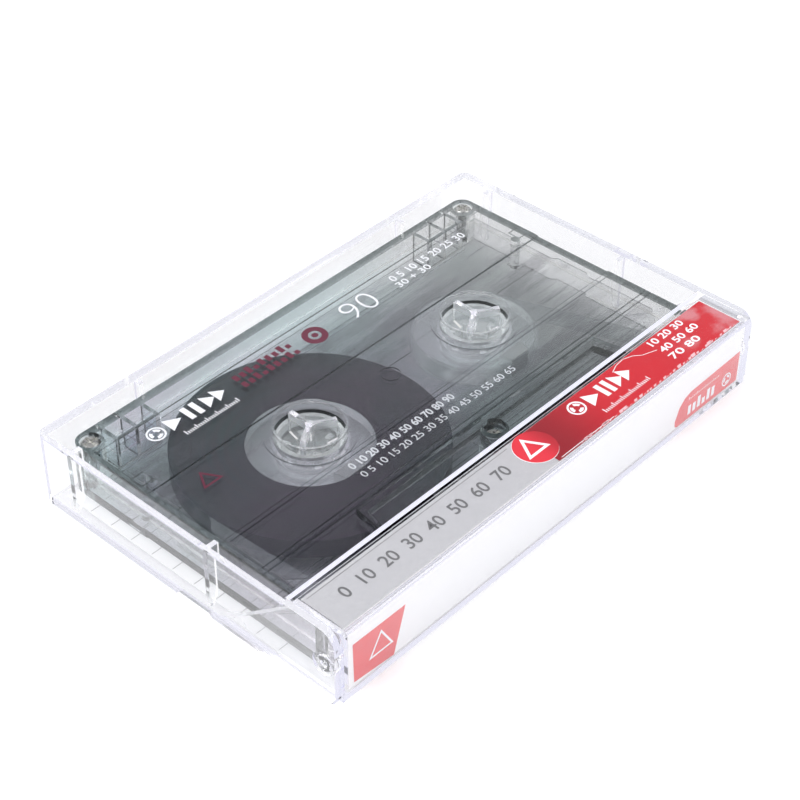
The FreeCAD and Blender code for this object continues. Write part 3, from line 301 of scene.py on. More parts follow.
def clear_plastic(name, roughness, colour, density, painted_glow_colour, ior, tint=(0.97, 0.97, 0.975)):
    """See-through moulded plastic: smooth, with hairline scuffs that blur it a little. Colour and density are
    those of its depth, painted_glow_colour is the colour of the painted glow that stands in for light running
    along its walls, and tint dims what passes."""
    material, tree, shader = finish(name, Base_Color=(1.0, 1.0, 1.0), IOR=ior, Transmission_Weight=1.0)
    material.cycles.emission_sampling = "NONE"
    scuffs = effect(tree, SCUFFS, Scale=36.0, Amount=SCUFF_DEPTH)
    smudges = effect(tree, SMUDGES_AND_SHEEN, Scale=45.0, Low=0.5, High=0.8)
    cloud = number(tree, "MULTIPLY", smudges.outputs["Mask"], SCUFF_DEPTH * 0.4)
    marks = number(tree, "ADD", scuffs.outputs["Mask"], cloud)
    link(tree, number(tree, "ADD", marks, roughness), shader.inputs["Roughness"])
    let_light_through(tree, shader, tint, painted_glow_colour)
    fill_with(tree, colour, density)
    return material


def upright_share(tree):
    """1 on upright faces and 0 on level ones."""
    z = split(tree, add(tree, "NewGeometry").outputs["True Normal"])[2]
    return number(tree, "LESS_THAN", number(tree, "ABSOLUTE", z), STEEP)


def between(tree, value, low, high):
    """1 where a value lies between two bounds in millimetres."""
    above = number(tree, "GREATER_THAN", value, low * MM)
    return number(tree, "MULTIPLY", above, number(tree, "LESS_THAN", value, high * MM))


def all_of(tree, first, *others):
    """1 where every mask is 1."""
    for other in others:
        first = number(tree, "MULTIPLY", first, other)
    return first


def highest(tree, first, *others):
    """The greatest of some values."""
    for other in others:
        first = number(tree, "MAXIMUM", first, other)
    return first


def case_plastic():
    """The case's clear plastic. Its posts are frosted at their roots and carry a faint painted glow there,
    the ribs round them are faint, and the tray's cut front edge has an even painted glow that stands in for
    the light that runs along the panel."""
    material = clear_plastic("clear polystyrene", 0.012, (0.55, 0.55, 0.86), 6.0, (0.88, 0.88, 0.96),
                             ior=1.52)
    tree = material.node_tree
    shader = tree.nodes["Principled BSDF"]
    y, z = split(tree, object_point(tree))[1:]
    radius = effect(tree, WINDING).outputs["Radius"]
    inside = between(tree, radius, BELOW_ALL, POST_RADIUS)
    root = all_of(tree, inside, between(tree, z, POST_ROOT, UNDER_PANEL))
    post = all_of(tree, inside, between(tree, z, POST_FOOT, POST_ROOT))
    rib = all_of(tree, between(tree, radius, RIB_INNER, RIB_OUTER), between(tree, z, RIB_FOOT, UNDER_PANEL))
    edge = all_of(tree, between(tree, y, TRAY_EDGE - EDGE_SLACK, TRAY_EDGE + EDGE_SLACK),
                  between(tree, z, EDGE_LOW, EDGE_HIGH))
    worn = shader.inputs["Roughness"].links[0].from_socket
    rough = highest(tree, number(tree, "MULTIPLY", post, 0.07), number(tree, "MULTIPLY", root, 0.3),
                    number(tree, "MULTIPLY", edge, 0.5))
    link(tree, number(tree, "MAXIMUM", worn, rough), shader.inputs["Roughness"])
    link(tree, ramp(tree, rib, 0, 1, 1.0, 0.4), shader.inputs["Alpha"])
    # Painted glow: lavender white, faint at the posts' roots and stronger on the tray's cut front edge
    shader.inputs["Emission Color"].default_value = (0.86, 0.86, 1.0, 1)
    glow = highest(tree, number(tree, "MULTIPLY", root, 0.03), number(tree, "MULTIPLY", edge, 0.24))
    link(tree, glow, shader.inputs["Emission Strength"])
    return material


def hub_plastic():
    """The hubs' plastic: see-through but a little milky."""
    material = clear_plastic("clear acetal", 0.2, (0.75, 0.82, 0.82), 8.0, (0.6, 0.64, 0.64), ior=1.42,
                             tint=(0.97, 0.975, 0.975))
    shader = material.node_tree.nodes["Principled BSDF"]
    shader.inputs["Transmission Weight"].default_value = 0.82
    shader.inputs["Base Color"].default_value = (0.93, 0.96, 0.96, 1)
    return material


def smoked_plastic():
    """The shell's smoke-grey plastic, with a painted sheen of plum and teal by turns over the full reel.
    Painted shade darkens the grooves and steps in its face and its rim, and makes it black under the gap in
    front of the tray."""
    material = clear_plastic("smoke polystyrene", 0.03, (0.38, 0.42, 0.41), 130.0, (0.045, 0.055, 0.057),
                             ior=1.5, tint=(0.95, 0.96, 0.96))
    tree = material.node_tree
    x, y, z = split(tree, object_point(tree))
    sideways = number(tree, "ABSOLUTE", x)
    over_shell = between(tree, sideways, BELOW_ALL, SHELL_HALF_X)
    face = between(tree, z, BAND_FACE - 0.25, SHELL_FACE + 0.01)
    # Painted shade in the grooves and steps: their upright faces, and thin bands at set places across the
    # face, go dark
    line = all_of(tree, upright_share(tree), over_shell,
                  between(tree, number(tree, "ABSOLUTE", y), BELOW_ALL, SHELL_HALF_Y))
    for place in GROOVE_SHADE_PLACES:
        drawn = all_of(tree, between(tree, y, place - LINE_HALF_WIDTH, place + LINE_HALF_WIDTH),
                       between(tree, sideways, BELOW_ALL, LINE_REACH))
        line = number(tree, "MAXIMUM", line, drawn)
    # Painted shade: black on the nose under the gap in front of the tray
    painted_gap_shade = all_of(tree, between(tree, y, *GAP_SHADE), over_shell,
                       between(tree, z, NOSE_FACE - 0.2, NOSE_FACE + 0.1))
    # Painted sheen: plum and teal patches over the full reel, fading to clear towards the other reel
    painted_sheen = effect(tree, SMUDGES_AND_SHEEN, Scale=28.0, Low=0.4, High=0.6).outputs["Mask"]
    sheen_tinted = mixed(tree, painted_sheen, (0.925, 0.89, 0.955), (0.865, 0.925, 0.935))
    clear = mixed(tree, ramp(tree, x, 0.0, 0.04), sheen_tinted, (1.0, 1.0, 1.0))
    # Painted shade along the shell's rim
    rim = highest(tree, between(tree, sideways, RIM_X, PAST_ALL), between(tree, y, RIM_Y, PAST_ALL))
    rim = all_of(tree, rim, between(tree, z, RIM_LOW, NOSE_FACE - 0.4))
    rim_shaded = mixed(tree, rim, clear, (0.5, 0.54, 0.54))
    groove_shaded = mixed(tree, all_of(tree, line, face), rim_shaded, (0.16, 0.18, 0.19))
    shaded = mixed(tree, painted_gap_shade, groove_shaded, (0.01, 0.01, 0.012))
    link(tree, shaded, tree.nodes["Principled BSDF"].inputs["Base Color"])
    return material


def graphite_film():
    """Thin clear film brushed with graphite along its length. It greys what lies under it, and its cut
    edge is dark."""
    material, tree, shader = finish("graphite film", Roughness=0.45)
    drawn = add(tree, "VectorMath", operation="MULTIPLY")
    link(tree, object_point(tree), drawn.inputs[0])
    drawn.inputs[1].default_value = (0.12, 1.0, 1.0)
    streaks = add(tree, "TexNoise", Scale=330.0, Detail=3.0, Roughness=0.6)
    link(tree, drawn.outputs[0], streaks.inputs["Vector"])
    smudges = effect(tree, SMUDGES_AND_SHEEN, Scale=40.0, Low=0.3, High=0.75)
    streak = ramp(tree, streaks.outputs["Fac"], 0.36, 0.66)
    brushed = number(tree, "MULTIPLY", streak, smudges.outputs["Mask"])
    cover = ramp(tree, brushed, 0, 1, 0.09, 0.27)
    cut_edge = upright_share(tree)
    link(tree, highest(tree, cover, number(tree, "MULTIPLY", cut_edge, 0.9)), shader.inputs["Alpha"])
    dusted = mixed(tree, brushed, (0.025, 0.045, 0.053), (0.095, 0.088, 0.11))
    link(tree, mixed(tree, cut_edge, dusted, (0.02, 0.022, 0.022)), shader.inputs["Base Color"])
    return material


def wound_tape():
    """The side of a tape pack: dark, with a painted sheen between plum and teal, and the edges of its turns.
    """
    material, tree, shader = finish("wound tape", Specular_IOR_Level=0.6)
    winding = effect(tree, WINDING, Pitch=0.00018)
    streaks = winding.outputs["Streaks"]
    # Painted sheen: soft patches of plum and teal
    painted_sheen_mask = effect(tree, SMUDGES_AND_SHEEN, Scale=26.0, Low=0.38, High=0.62)
    painted_sheen = mixed(tree, painted_sheen_mask.outputs["Mask"], (0.034, 0.018, 0.038), (0.006, 0.027, 0.031))
    link(tree, mixed(tree, streaks, painted_sheen, (0.03, 0.027, 0.036)), shader.inputs["Base Color"])
    link(tree, ramp(tree, streaks, 0, 1, 0.38, 0.5), shader.inputs["Roughness"])
    bump(tree, shader, winding.outputs["Height"], 0.00006, 0.6)
    return material


def leader_film():
    """Clear leader: thin milky film."""
    material, tree, shader = finish("leader film", Base_Color=(0.62, 0.66, 0.67), Alpha=0.22)
    smudges = effect(tree, SMUDGES_AND_SHEEN, Scale=90.0)
    link(tree, ramp(tree, smudges.outputs["Mask"], 0, 1, 0.2, 0.32), shader.inputs["Roughness"])
    return material


def moulded_plastic(name, colour, roughness, bump_depth=0.00001):
    """Opaque moulded plastic with a faint unevenness of tone and surface."""
    material, tree, shader = finish(name, Roughness=roughness)
    smudges = effect(tree, SMUDGES_AND_SHEEN, Scale=160.0, Low=0.3, High=0.7)
    darker = tuple(part * 0.9 for part in colour)
    link(tree, mixed(tree, smudges.outputs["Mask"], darker, colour), shader.inputs["Base Color"])
    bump(tree, shader, smudges.outputs["Mask"], bump_depth)
    return material


def metal(name, colour, roughness, stretch):
    """Bare metal with grain drawn out along its length."""
    material, tree, shader = finish(name, Base_Color=colour, Metallic=1.0)
    drawn = add(tree, "VectorMath", operation="MULTIPLY")
    link(tree, object_point(tree), drawn.inputs[0])
    drawn.inputs[1].default_value = stretch
    grain = add(tree, "TexNoise", Scale=900.0, Detail=3.0)
    link(tree, drawn.outputs[0], grain.inputs["Vector"])
    link(tree, ramp(tree, grain.outputs["Fac"], 0.3, 0.7, roughness * 0.75, roughness * 1.3),
         shader.inputs["Roughness"])
    bump(tree, shader, grain.outputs["Fac"], 0.000004)
    return material


def wool_felt():
    """Pressed wool: matt, with fine fibres."""
    material, tree, shader = finish("wool felt", Roughness=0.95, Sheen_Weight=0.4)
    fibre = add(tree, "TexNoise", Scale=2600.0, Detail=5.0, Distortion=1.5)
    link(tree, object_point(tree), fibre.inputs["Vector"])
    wool = mixed(tree, fibre.outputs["Fac"], (0.46, 0.38, 0.24), (0.7, 0.63, 0.48))
    link(tree, wool, shader.inputs["Base Color"])
    bump(tree, shader, fibre.outputs["Fac"], 0.00008)
    return material


def ink(name, colour, roughness=0.45):
    """Screen-printed ink, a little uneven."""
    material, tree, shader = finish(name, Roughness=roughness)
    smudges = effect(tree, SMUDGES_AND_SHEEN, Scale=240.0, Low=0.25, High=0.7)
    lighter = tuple(min(1.0, part * 1.08) for part in colour)
    link(tree, mixed(tree, smudges.outputs["Mask"], colour, lighter), shader.inputs["Base Color"])
    return material


def worn_red():
    """The flap's red: darker beside the disc, and rubbed pale in soft patches towards the far end."""
    material, tree, shader = finish("worn red ink", Roughness=0.33)
    x = split(tree, object_point(tree))[0]
    deep = mixed(tree, ramp(tree, x, 0.003, 0.02), (0.31, 0.011, 0.02), (0.65, 0.012, 0.024))
    patches = effect(tree, SMUDGES_AND_SHEEN, Scale=150.0, Low=0.44, High=0.62)
    far = ramp(tree, x, 0.036, 0.044)
    rubbed = number(tree, "MULTIPLY", patches.outputs["Mask"], far)
    pale = number(tree, "MULTIPLY", rubbed, 0.6)
    link(tree, mixed(tree, pale, deep, (0.72, 0.36, 0.39)), shader.inputs["Base Color"])
    return material


def shaded_disc():
    """The flap's disc: bright at its left and sunk into the field's tone at its right."""
    material, tree, shader = finish("shaded red ink", Roughness=0.33)
    x = split(tree, object_point(tree))[0]
    shade = mixed(tree, ramp(tree, x, -0.001, 0.0045), (0.74, 0.035, 0.055), (0.42, 0.018, 0.03))
    link(tree, shade, shader.inputs["Base Color"])
    return material


def printed_card():
    """White card, with silver ink where it folds over the top."""
    material, tree, shader = finish("printed card", Roughness=0.6)
    z = split(tree, object_point(tree))[2]
    on_flap = number(tree, "GREATER_THAN", z, (FLAP_FACE - 0.15) * MM)
    fibre = add(tree, "TexNoise", Scale=1400.0, Detail=4.0)
    link(tree, object_point(tree), fibre.inputs["Vector"])
    silver = mixed(tree, fibre.outputs["Fac"], (0.5, 0.5, 0.52), (0.6, 0.6, 0.615))
    link(tree, mixed(tree, on_flap, (0.95, 0.95, 0.955), silver), shader.inputs["Base Color"])
    link(tree, number(tree, "MULTIPLY", on_flap, 0.2), shader.inputs["Metallic"])
    bump(tree, shader, fibre.outputs["Fac"], 0.000012)
    return material


CASE_CLEAR = case_plastic()
SHELL_SMOKE = smoked_plastic()
HUB_CLEAR = hub_plastic()
LEADER_FILM = leader_film()

WHITE_INK = ink("white ink", (0.86, 0.87, 0.9))
SCALE_INK = ink("grey white ink", (0.6, 0.62, 0.65))
DARK_RED_INK = ink("dark red ink", (0.13, 0.01, 0.035))
BRIGHT_RED_INK = ink("bright red ink", (0.76, 0.04, 0.05), 0.35)
GREY_INK = ink("grey ink", (0.16, 0.16, 0.165))
PINK_INK = ink("rubbed pink ink", (0.8, 0.5, 0.53))

NODE_FINISH = {
    "case_pocket": CASE_CLEAR,
    "case_tray": CASE_CLEAR,
    "inlay_card": printed_card(),
    "shell_upper": SHELL_SMOKE,
    "shell_lower": SHELL_SMOKE,
    "shell_screws": metal("plated steel", (0.72, 0.72, 0.7), 0.28, (1, 1, 6)),
    "hub_left": HUB_CLEAR,
    "hub_right": HUB_CLEAR,
    "hub_clamp_left": moulded_plastic("clamp acetal", (0.55, 0.57, 0.57), 0.4),
    "hub_clamp_right": moulded_plastic("clamp acetal right", (0.55, 0.57, 0.57), 0.4),
    "tape_pack_left": wound_tape(),
    "tape_pack_right": LEADER_FILM,
    "tape_run": LEADER_FILM,
    "roller_left": moulded_plastic("white acetal", (0.78, 0.78, 0.76), 0.35),
    "roller_right": moulded_plastic("white acetal right", (0.78, 0.78, 0.76), 0.35),
    "roller_pin_left": metal("ground steel", (0.7, 0.7, 0.7), 0.2, (1, 1, 8)),
    "roller_pin_right": metal("ground steel right", (0.7, 0.7, 0.7), 0.2, (1, 1, 8)),
    "felt_pad": wool_felt(),
    "pad_spring": metal("phosphor bronze", (0.72, 0.5, 0.26), 0.3, (1, 8, 8)),
    "shield_plate": metal("shield steel", (0.58, 0.58, 0.6), 0.35, (1, 8, 8)),
    "slip_sheet_upper": graphite_film(),
    "slip_sheet_lower": graphite_film(),
}


def dress_nodes():
    """Every modelled node takes its finish on its own material slots."""
    for name, material in NODE_FINISH.items():
        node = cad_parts[name]
        if not node.material_slots:
            node.data.materials.append(material)
        for place in node.material_slots:
            place.material = material


# Print

def lay_flat(bm):
    """The faces of a flat outline turned up and given the ink's thickness."""
    bmesh.ops.remove_doubles(bm, verts=bm.verts, dist=1e-5)
    bmesh.ops.recalc_face_normals(bm, faces=bm.faces)
    made = bmesh.ops.extrude_face_region(bm, geom=bm.faces[:])
    raised = [part for part in made["geom"] if isinstance(part, bmesh.types.BMVert)]
    bmesh.ops.translate(bm, verts=raised, vec=(0, 0, INK_THICK))
    bmesh.ops.recalc_face_normals(bm, faces=bm.faces)


def polygon(bm, corners):
    bm.faces.new([bm.verts.new((x, y, 0)) for x, y in corners])


def bar(bm, left, right, low, high):
    polygon(bm, ((left, low), (right, low), (right, high), (left, high)))


def disc(bm, x, y, radius, steps=48):
    place = Matrix.Translation((x, y, 0))
    bmesh.ops.create_circle(bm, cap_ends=True, radius=radius, segments=steps, matrix=place)


def ring(bm, x, y, outer, inner, steps=48):
    """A flat ring between two circles."""
    edges = []
    for radius in (outer, inner):
        place = Matrix.Translation((x, y, 0))
        made = bmesh.ops.create_circle(bm, radius=radius, segments=steps, matrix=place)
        edges += {edge for vert in made["verts"] for edge in vert.link_edges}
    bmesh.ops.bridge_loops(bm, edges=edges)


def sector(bm, x, y, inner, outer, start, stop, steps=8):
    """A flat piece of a ring between two angles in degrees."""
    turns = [math.radians(start + (stop - start) * step / steps) for step in range(steps + 1)]
    rim = [(x + outer * math.cos(turn), y + outer * math.sin(turn)) for turn in turns]
    core = [(x + inner * math.cos(turn), y + inner * math.sin(turn)) for turn in reversed(turns)]
    polygon(bm, rim + core)


def reel_icon(bm, x, y, radius):
    """A tape reel seen face on: rim, three windows between spokes and a hub."""
    ring(bm, x, y, radius, radius * 0.8)
    for start in (0, 120, 240):
        sector(bm, x, y, radius * 0.34, radius * 0.68, start + 8, start + 82)


def play_icon(bm, left, right, low, high):
    polygon(bm, ((left, low), (right, (low + high) / 2), (left, high)))


def stroke(bm, width, *points):
    """A thin line through some points."""
    for start, end in zip(points, points[1:]):
        along = Vector((end[0] - start[0], end[1] - start[1])).normalized() * width / 2
        across = Vector((-along.y, along.x))
        tail, head = Vector(start) - along, Vector(end) + along
        polygon(bm, (tail - across, head - across, head + across, tail + across))


def fold_flecks(left, right, low, high, count):
    """Slanting flecks of uneven length where ink has cracked along a fold."""
    pitch = (right - left) / count
    flecks = []
    for step in range(count):
        size = abs(math.sin(2.3 * step) * math.sin(0.7 * step + 1.0))
        start = left + (step + 0.3 * math.sin(5.1 * step)) * pitch
        end = start + pitch * (0.15 + 0.75 * size)
        top = low + (high - low) * (0.25 + 0.75 * size)
        flecks.append((polygon, ((start, low), (end, low), (end + 0.5, top), (start + 0.3, top))))
    return flecks


def hollow_play(bm, x, y, size, inner):
    """A play sign drawn as an outline, pointing right."""
    ring(bm, x, y, size, inner, steps=3)


def piece_from(bm, name, place, material):
    """A finished mesh piece in the model's frame, in metres, riding on the case."""
    mesh = bpy.data.meshes.new(name)
    bm.to_mesh(mesh)
    bm.free()
    mesh.transform(Matrix.Scale(MM, 4) @ place)
    piece = bpy.data.objects.new(name, mesh)
    bpy.context.scene.collection.objects.link(piece)
    mesh.materials.append(material)
    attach(piece, "root")
    return piece


def on_level(height):
    """Print that lies face up at a height in millimetres."""
    return Matrix.Translation((0, 0, height + INK_LIFT))


def on_spine():
    """Print on the card's spine, read with the case turned over."""
    return Matrix.Translation((0, SPINE_FACE - INK_LIFT, 0)) @ Matrix.Rotation(math.radians(90), 4, "X")


def over_spine(spine):
    """A second layer of print on the spine."""
    return Matrix.Translation((0, -INK_THICK - LAYER_GAP, 0)) @ spine


def print_shape(name, place, material, slot, *drawn):
    """One colour of print made of flat outlines: each is a drawing function with its sizes."""
    bm = bmesh.new()
    for draw, *sizes in drawn:
        draw(bm, *sizes)
    lay_flat(bm)
    return piece_from(bm, name, place, material)


def print_figures(name, text, box, place, material, bold=0.0):
    """A line of figures, made a mesh and then fitted to its box: left, right, low, high."""
    curve = bpy.data.curves.new(name, "FONT")
    curve.body = text
    curve.offset = bold
    curve.extrude = 0.01
    curve.resolution_u = 5
    written = bpy.data.objects.new(name + "_line", curve)
    mesh = bpy.data.meshes.new_from_object(written)
    bpy.data.objects.remove(written)
    bpy.data.curves.remove(curve)
    bm = bmesh.new()
    bm.from_mesh(mesh)
    bpy.data.meshes.remove(mesh)
    bmesh.ops.remove_doubles(bm, verts=bm.verts, dist=1e-6)
    low = [min(vert.co[axis] for vert in bm.verts) for axis in range(3)]
    high = [max(vert.co[axis] for vert in bm.verts) for axis in range(3)]
    left, right, bottom, top = box
    wide, tall = (right - left) / (high[0] - low[0]), (top - bottom) / (high[1] - low[1])
    bmesh.ops.translate(bm, verts=bm.verts, vec=[-part for part in low])
    bmesh.ops.scale(bm, verts=bm.verts, vec=(wide, tall, INK_THICK / (high[2] - low[2])))
    bmesh.ops.translate(bm, verts=bm.verts, vec=(left, bottom, 0))
    return piece_from(bm, name, place, material)


def meter_bars(left, right, low, high, count, share=0.62):
    """A row of level-meter bars whose heights rise and fall."""
    pitch = (right - left) / count
    rows = []
    for step in range(count):
        level = 0.45 + 0.55 * abs(math.sin(1.9 * step + 0.7))
        start = left + step * pitch
        rows.append((bar, start, start + share * pitch, low, low + level * (high - low)))
    return rows


def dial_ticks(left, right, low, high, count, width, long_every=5):
    """A tuning scale: fine ticks with a longer one at each figure."""
    pitch = (right - left - width) / (count - 1)
    rows = []
    for step in range(count):
        start = left + step * pitch
        top = high if step % long_every == 0 else low + 0.6 * (high - low)
        rows.append((bar, start, start + width, low, top))
    return rows


def print_shell():
    """White and red print on the cassette's face: reel, transport signs, minute scale and side mark."""
    face, band = on_level(SHELL_FACE), on_level(BAND_FACE)
    print_shape("print_reel_sign", face, WHITE_INK, "shell_smoke", (reel_icon, -39.1, 22.35, 1.8))
    print_shape("print_transport_signs", face, WHITE_INK, "shell_smoke",
                (play_icon, -36.4, -33.3, 20.7, 24.2),
                (bar, -32.3, -31.2, 20.7, 24.2), (bar, -30.3, -29.2, 20.7, 24.2),
                (play_icon, -28.0, -25.6, 20.7, 24.2), (play_icon, -25.6, -23.2, 20.7, 24.2))
    print_shape("print_small_scale", face, WHITE_INK, "shell_smoke",
                *dial_ticks(-35.5, -23.3, 18.3, 19.5, 26, 0.22))
    print_shape("print_meter_rows", face, DARK_RED_INK, "shell_smoke",
                *meter_bars(-20.1, -5.9, 22.5, 24.4, 9), *meter_bars(-20.1, -5.9, 20.2, 22.0, 9))
    print_shape("print_red_disc", face, DARK_RED_INK, "shell_smoke",
                (ring, -1.4, 21.8, 2.45, 1.25), (disc, -1.4, 21.8, 0.65))
    print_figures("print_minutes", "90", (6.6, 14.2, 19.6, 24.5), face, WHITE_INK, bold=-0.02)
    print_figures("print_side_minutes", "0 5 10 15 20 25 30", (20.2, 40.7, 22.3, 24.1), face, WHITE_INK,
                  bold=0.01)
    print_figures("print_both_sides", "30 + 30", (19.7, 28.6, 20.2, 21.8), face, WHITE_INK,
                  bold=0.01)
    print_figures("print_scale_figures", "0 10 20 30 40 50 60 70 80 90", (-23.0, 2.7, -8.4, -6.7), face,
                  SCALE_INK, bold=0.02)
    print_figures("print_scale_figures_fine", "0 5 10 15 20 25 30 35 40 45 50 55 60 65",
                  (-23.0, 15.8, -11.1, -9.6), face, SCALE_INK)
    print_shape("print_side_mark", band, DARK_RED_INK, "shell_smoke", (hollow_play, -40.6, 7.75, 2.5, 1.75))


def print_card():
    """The card's print: a worn red field and grey figures on the flap, and two red shapes on the spine."""
    flap, spine = on_level(FLAP_FACE), on_spine()
    over = Matrix.Translation((0, 0, INK_THICK + LAYER_GAP))
    print_shape("print_red_field", flap, worn_red(), "card",
                (polygon, ((0.0, -24.5), (CARD_EDGE, -24.5), (CARD_EDGE, -33.45), (0.0, -33.45))))
    print_shape("print_disc_rim", over @ flap, WHITE_INK, "card", (disc, -0.15, -28.35, 4.02))
    print_shape("print_flap_disc", over @ over @ flap, shaded_disc(), "card", (disc, -0.05, -28.3, 3.96))
    lettering = over @ over @ over @ flap
    print_shape("print_disc_sign", lettering, WHITE_INK, "card", (hollow_play, -0.5, -28.2, 3.1, 2.0))
    print_shape("print_flap_reel", over @ flap, WHITE_INK, "card", (reel_icon, 12.5, -27.1, 1.75))
    print_shape("print_flap_transport", over @ flap, WHITE_INK, "card",
                (play_icon, 15.1, 18.0, -29.1, -25.6),
                (bar, 18.7, 19.7, -29.1, -25.6), (bar, 20.4, 21.4, -29.1, -25.6),
                (play_icon, 22.2, 24.5, -29.1, -25.6), (play_icon, 24.5, 26.8, -29.1, -25.6))
    print_shape("print_flap_scale", over @ flap, WHITE_INK, "card",
                *dial_ticks(15.1, 27.4, -31.6, -30.5, 26, 0.2))
    rows = (("10 20 30", (34.9, 44.3, -26.5, -24.9)), ("40 50 60", (34.9, 45.4, -29.0, -27.4)),
            ("70 80", (34.6, 42.8, -31.4, -29.8)))
    for place, (figures, box) in enumerate(rows, 1):
        print_figures(f"print_flap_rows_{place}", figures, box, over @ flap, WHITE_INK, bold=0.02)
    print_shape("print_crease", over @ flap, WHITE_INK, "card",
                (stroke, 0.13, (24.4, -25.6), (26.3, -24.9), (28.4, -24.7), (30.4, -25.4), (31.7, -26.5),
                 (34.6, -27.5)))
    print_shape("print_fold_line", over @ flap, WHITE_INK, "card",
                (stroke, 0.13, (1.0, -33.15), (15.0, -33.1)))
    print_shape("print_fold_flecks", over @ flap, PINK_INK, "card",
                *fold_flecks(6.0, 51.0, -33.4, -32.75, 40))
    print_shape("print_silver_line", flap, GREY_INK, "card", (bar, -50.9, -3.6, -25.16, -25.08))
    print_figures("print_flap_figures", "0  10  20  30  40  50  60  70", (-46.6, -7.2, -29.6, -27.0), flap,
                  GREY_INK, bold=0.01)
    print_shape("print_spine_left", spine, BRIGHT_RED_INK, "card",
                (polygon, ((-50.4, 2.5), (-41.4, 1.6), (-38.8, 10.8), (-50.6, 10.9))))
    print_shape("print_spine_left_sign", over_spine(spine), WHITE_INK, "card",
                (hollow_play, -44.3, 6.3, 3.2, 2.5))
    print_shape("print_spine_right", spine, BRIGHT_RED_INK, "card",
                (polygon, ((32.9, 1.8), (51.3, 1.8), (51.3, 8.5), (36.4, 8.0), (34.6, 7.4), (33.2, 6.0),
                           (32.2, 3.4), (32.3, 2.2))))
    print_shape("print_spine_right_signs", over_spine(spine), WHITE_INK, "card",
                (reel_icon, 47.8, 4.0, 1.4), *meter_bars(36.0, 44.6, 2.8, 5.4, 6),
                *dial_ticks(36.0, 45.0, 6.3, 6.9, 19, 0.16))
    print_shape("print_ruled_lines", on_level(CARD_FACE), GREY_INK, "card",
                *((bar, side * 51.3 - 3, side * 51.3 + 3, 5.12 * step - 0.05, 5.12 * step + 0.05)
                  for side in (-0.94, 0.94) for step in range(-4, 6)))


# Studio

def make_camera():
    """The camera stands where the photograph was taken from."""
    azimuth, elevation, roll = math.radians(-47.634), math.radians(39.712), math.radians(0.2825)
    distance, sideways, upwards = 344.282, -1.62738, 6.71286
    back = Vector((math.sin(azimuth) * math.cos(elevation), -math.cos(azimuth) * math.cos(elevation),
                   math.sin(elevation)))
    level = Vector((math.cos(azimuth), math.sin(azimuth), 0))
    upright = back.cross(level)
    right = level * math.cos(roll) + upright * math.sin(roll)
    up = upright * math.cos(roll) - level * math.sin(roll)
    focal_pixels, picture_pixels = 1926.464, 800
    data = bpy.data.cameras.new("camera")
    data.sensor_width = 36.0
    data.lens = focal_pixels / picture_pixels * data.sensor_width
    data.clip_start = 0.01
    camera = bpy.data.objects.new("camera", data)
    place = (right * sideways + up * upwards + back * distance) * MM
    camera.matrix_world = Matrix.Translation(place) @ Matrix((right, up, back)).transposed().to_4x4()
    bpy.context.scene.collection.objects.link(camera)
    bpy.context.scene.camera = camera


def seen_directly(tree):
    """1 for rays of the eye, also after a mirror or through glass."""
    path = add(tree, "LightPath")
    seen = number(tree, "MAXIMUM", path.outputs["Is Camera Ray"], path.outputs["Is Glossy Ray"])
    return number(tree, "MAXIMUM", seen, path.outputs["Is Transmission Ray"])


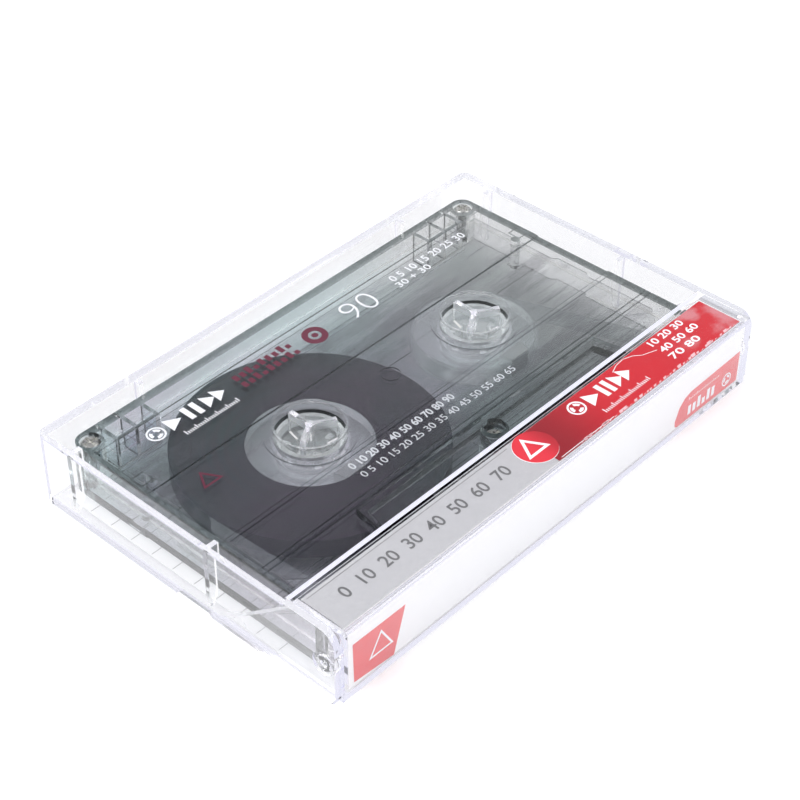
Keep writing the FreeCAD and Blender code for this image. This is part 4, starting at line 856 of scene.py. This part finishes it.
def make_floor():
    """A wide pale table that keeps the object's soft shadow."""
    bm = bmesh.new()
    bmesh.ops.create_circle(bm, cap_ends=True, radius=4.0, segments=96)
    bmesh.ops.translate(bm, verts=bm.verts, vec=(0, 0, -0.00005))
    mesh = bpy.data.meshes.new("floor")
    bm.to_mesh(mesh)
    bm.free()
    material, tree, shader = finish("white table", Base_Color=(0.72, 0.72, 0.73), Roughness=0.6)
    glow = add(tree, "Emission", Color=(1, 1, 1, 1))
    plain = number(tree, "MULTIPLY", add(tree, "LightPath").outputs["Is Camera Ray"], 0.13)
    through = number(tree, "MULTIPLY", seen_directly(tree), 0.22)
    link(tree, number(tree, "ADD", plain, through), glow.inputs["Strength"])
    both = add(tree, "AddShader")
    link(tree, shader.outputs[0], both.inputs[0])
    link(tree, glow.outputs[0], both.inputs[1])
    link(tree, both.outputs[0], tree.nodes["Material Output"].inputs["Surface"])
    mesh.materials.append(material)
    floor = bpy.data.objects.new("floor", mesh)
    bpy.context.scene.collection.objects.link(floor)


def make_world():
    """White round the horizon and overhead, dark between, as the eye sees it, so that the clear faces show
    what lies under them. Light trapped in a wall comes out white."""
    world = bpy.data.worlds.new("studio")
    bpy.context.scene.world = world
    world.use_nodes = True
    tree = world.node_tree
    z = split(tree, add(tree, "TexCoord").outputs["Generated"])[2]
    dark = number(tree, "MULTIPLY", ramp(tree, z, 0.34, 0.7), ramp(tree, z, 0.82, 0.9, 1.0, 0.0))
    path = add(tree, "LightPath")
    ceiling = mixed(tree, dark, (1.0, 1.0, 1.0), (0.05, 0.05, 0.06))
    trapped = number(tree, "GREATER_THAN", path.outputs["Ray Depth"], WHITE_BOUNCES)
    white = number(tree, "MAXIMUM", path.outputs["Is Camera Ray"], trapped)
    studio = mixed(tree, white, ceiling, (1.0, 1.0, 1.0))
    colour = mixed(tree, seen_directly(tree), (0.82, 0.82, 0.84), studio)
    link(tree, colour, tree.nodes["Background"].inputs["Color"])
    tree.nodes["Background"].inputs["Strength"].default_value = 1.0


def make_lamp(name, place, size, power):
    """A square softbox that faces the middle of the table."""
    data = bpy.data.lights.new(name, "AREA")
    data.shape = "SQUARE"
    data.size = size
    data.energy = power
    lamp = bpy.data.objects.new(name, data)
    lamp.location = place
    lamp.rotation_euler = Vector(place).to_track_quat("Z", "Y").to_euler()
    bpy.context.scene.collection.objects.link(lamp)


def make_studio():
    make_camera()
    make_floor()
    make_world()
    make_lamp("key_softbox", (-0.35, 0.25, 0.8), 0.5, 4.5)
    make_lamp("fill_softbox", (0.4, -0.7, 0.45), 0.5, 2.2)
    scene = bpy.context.scene
    scene.view_settings.view_transform = "Standard"
    # Light crosses the case, the shell and the films, with two faces each, before it meets the card
    scene.cycles.transparent_max_bounces = 40
    scene.cycles.transmission_bounces = 24
    scene.cycles.glossy_bounces = 24
    scene.cycles.max_bounces = 24


dress_nodes()
print_shell()
print_card()
make_studio()
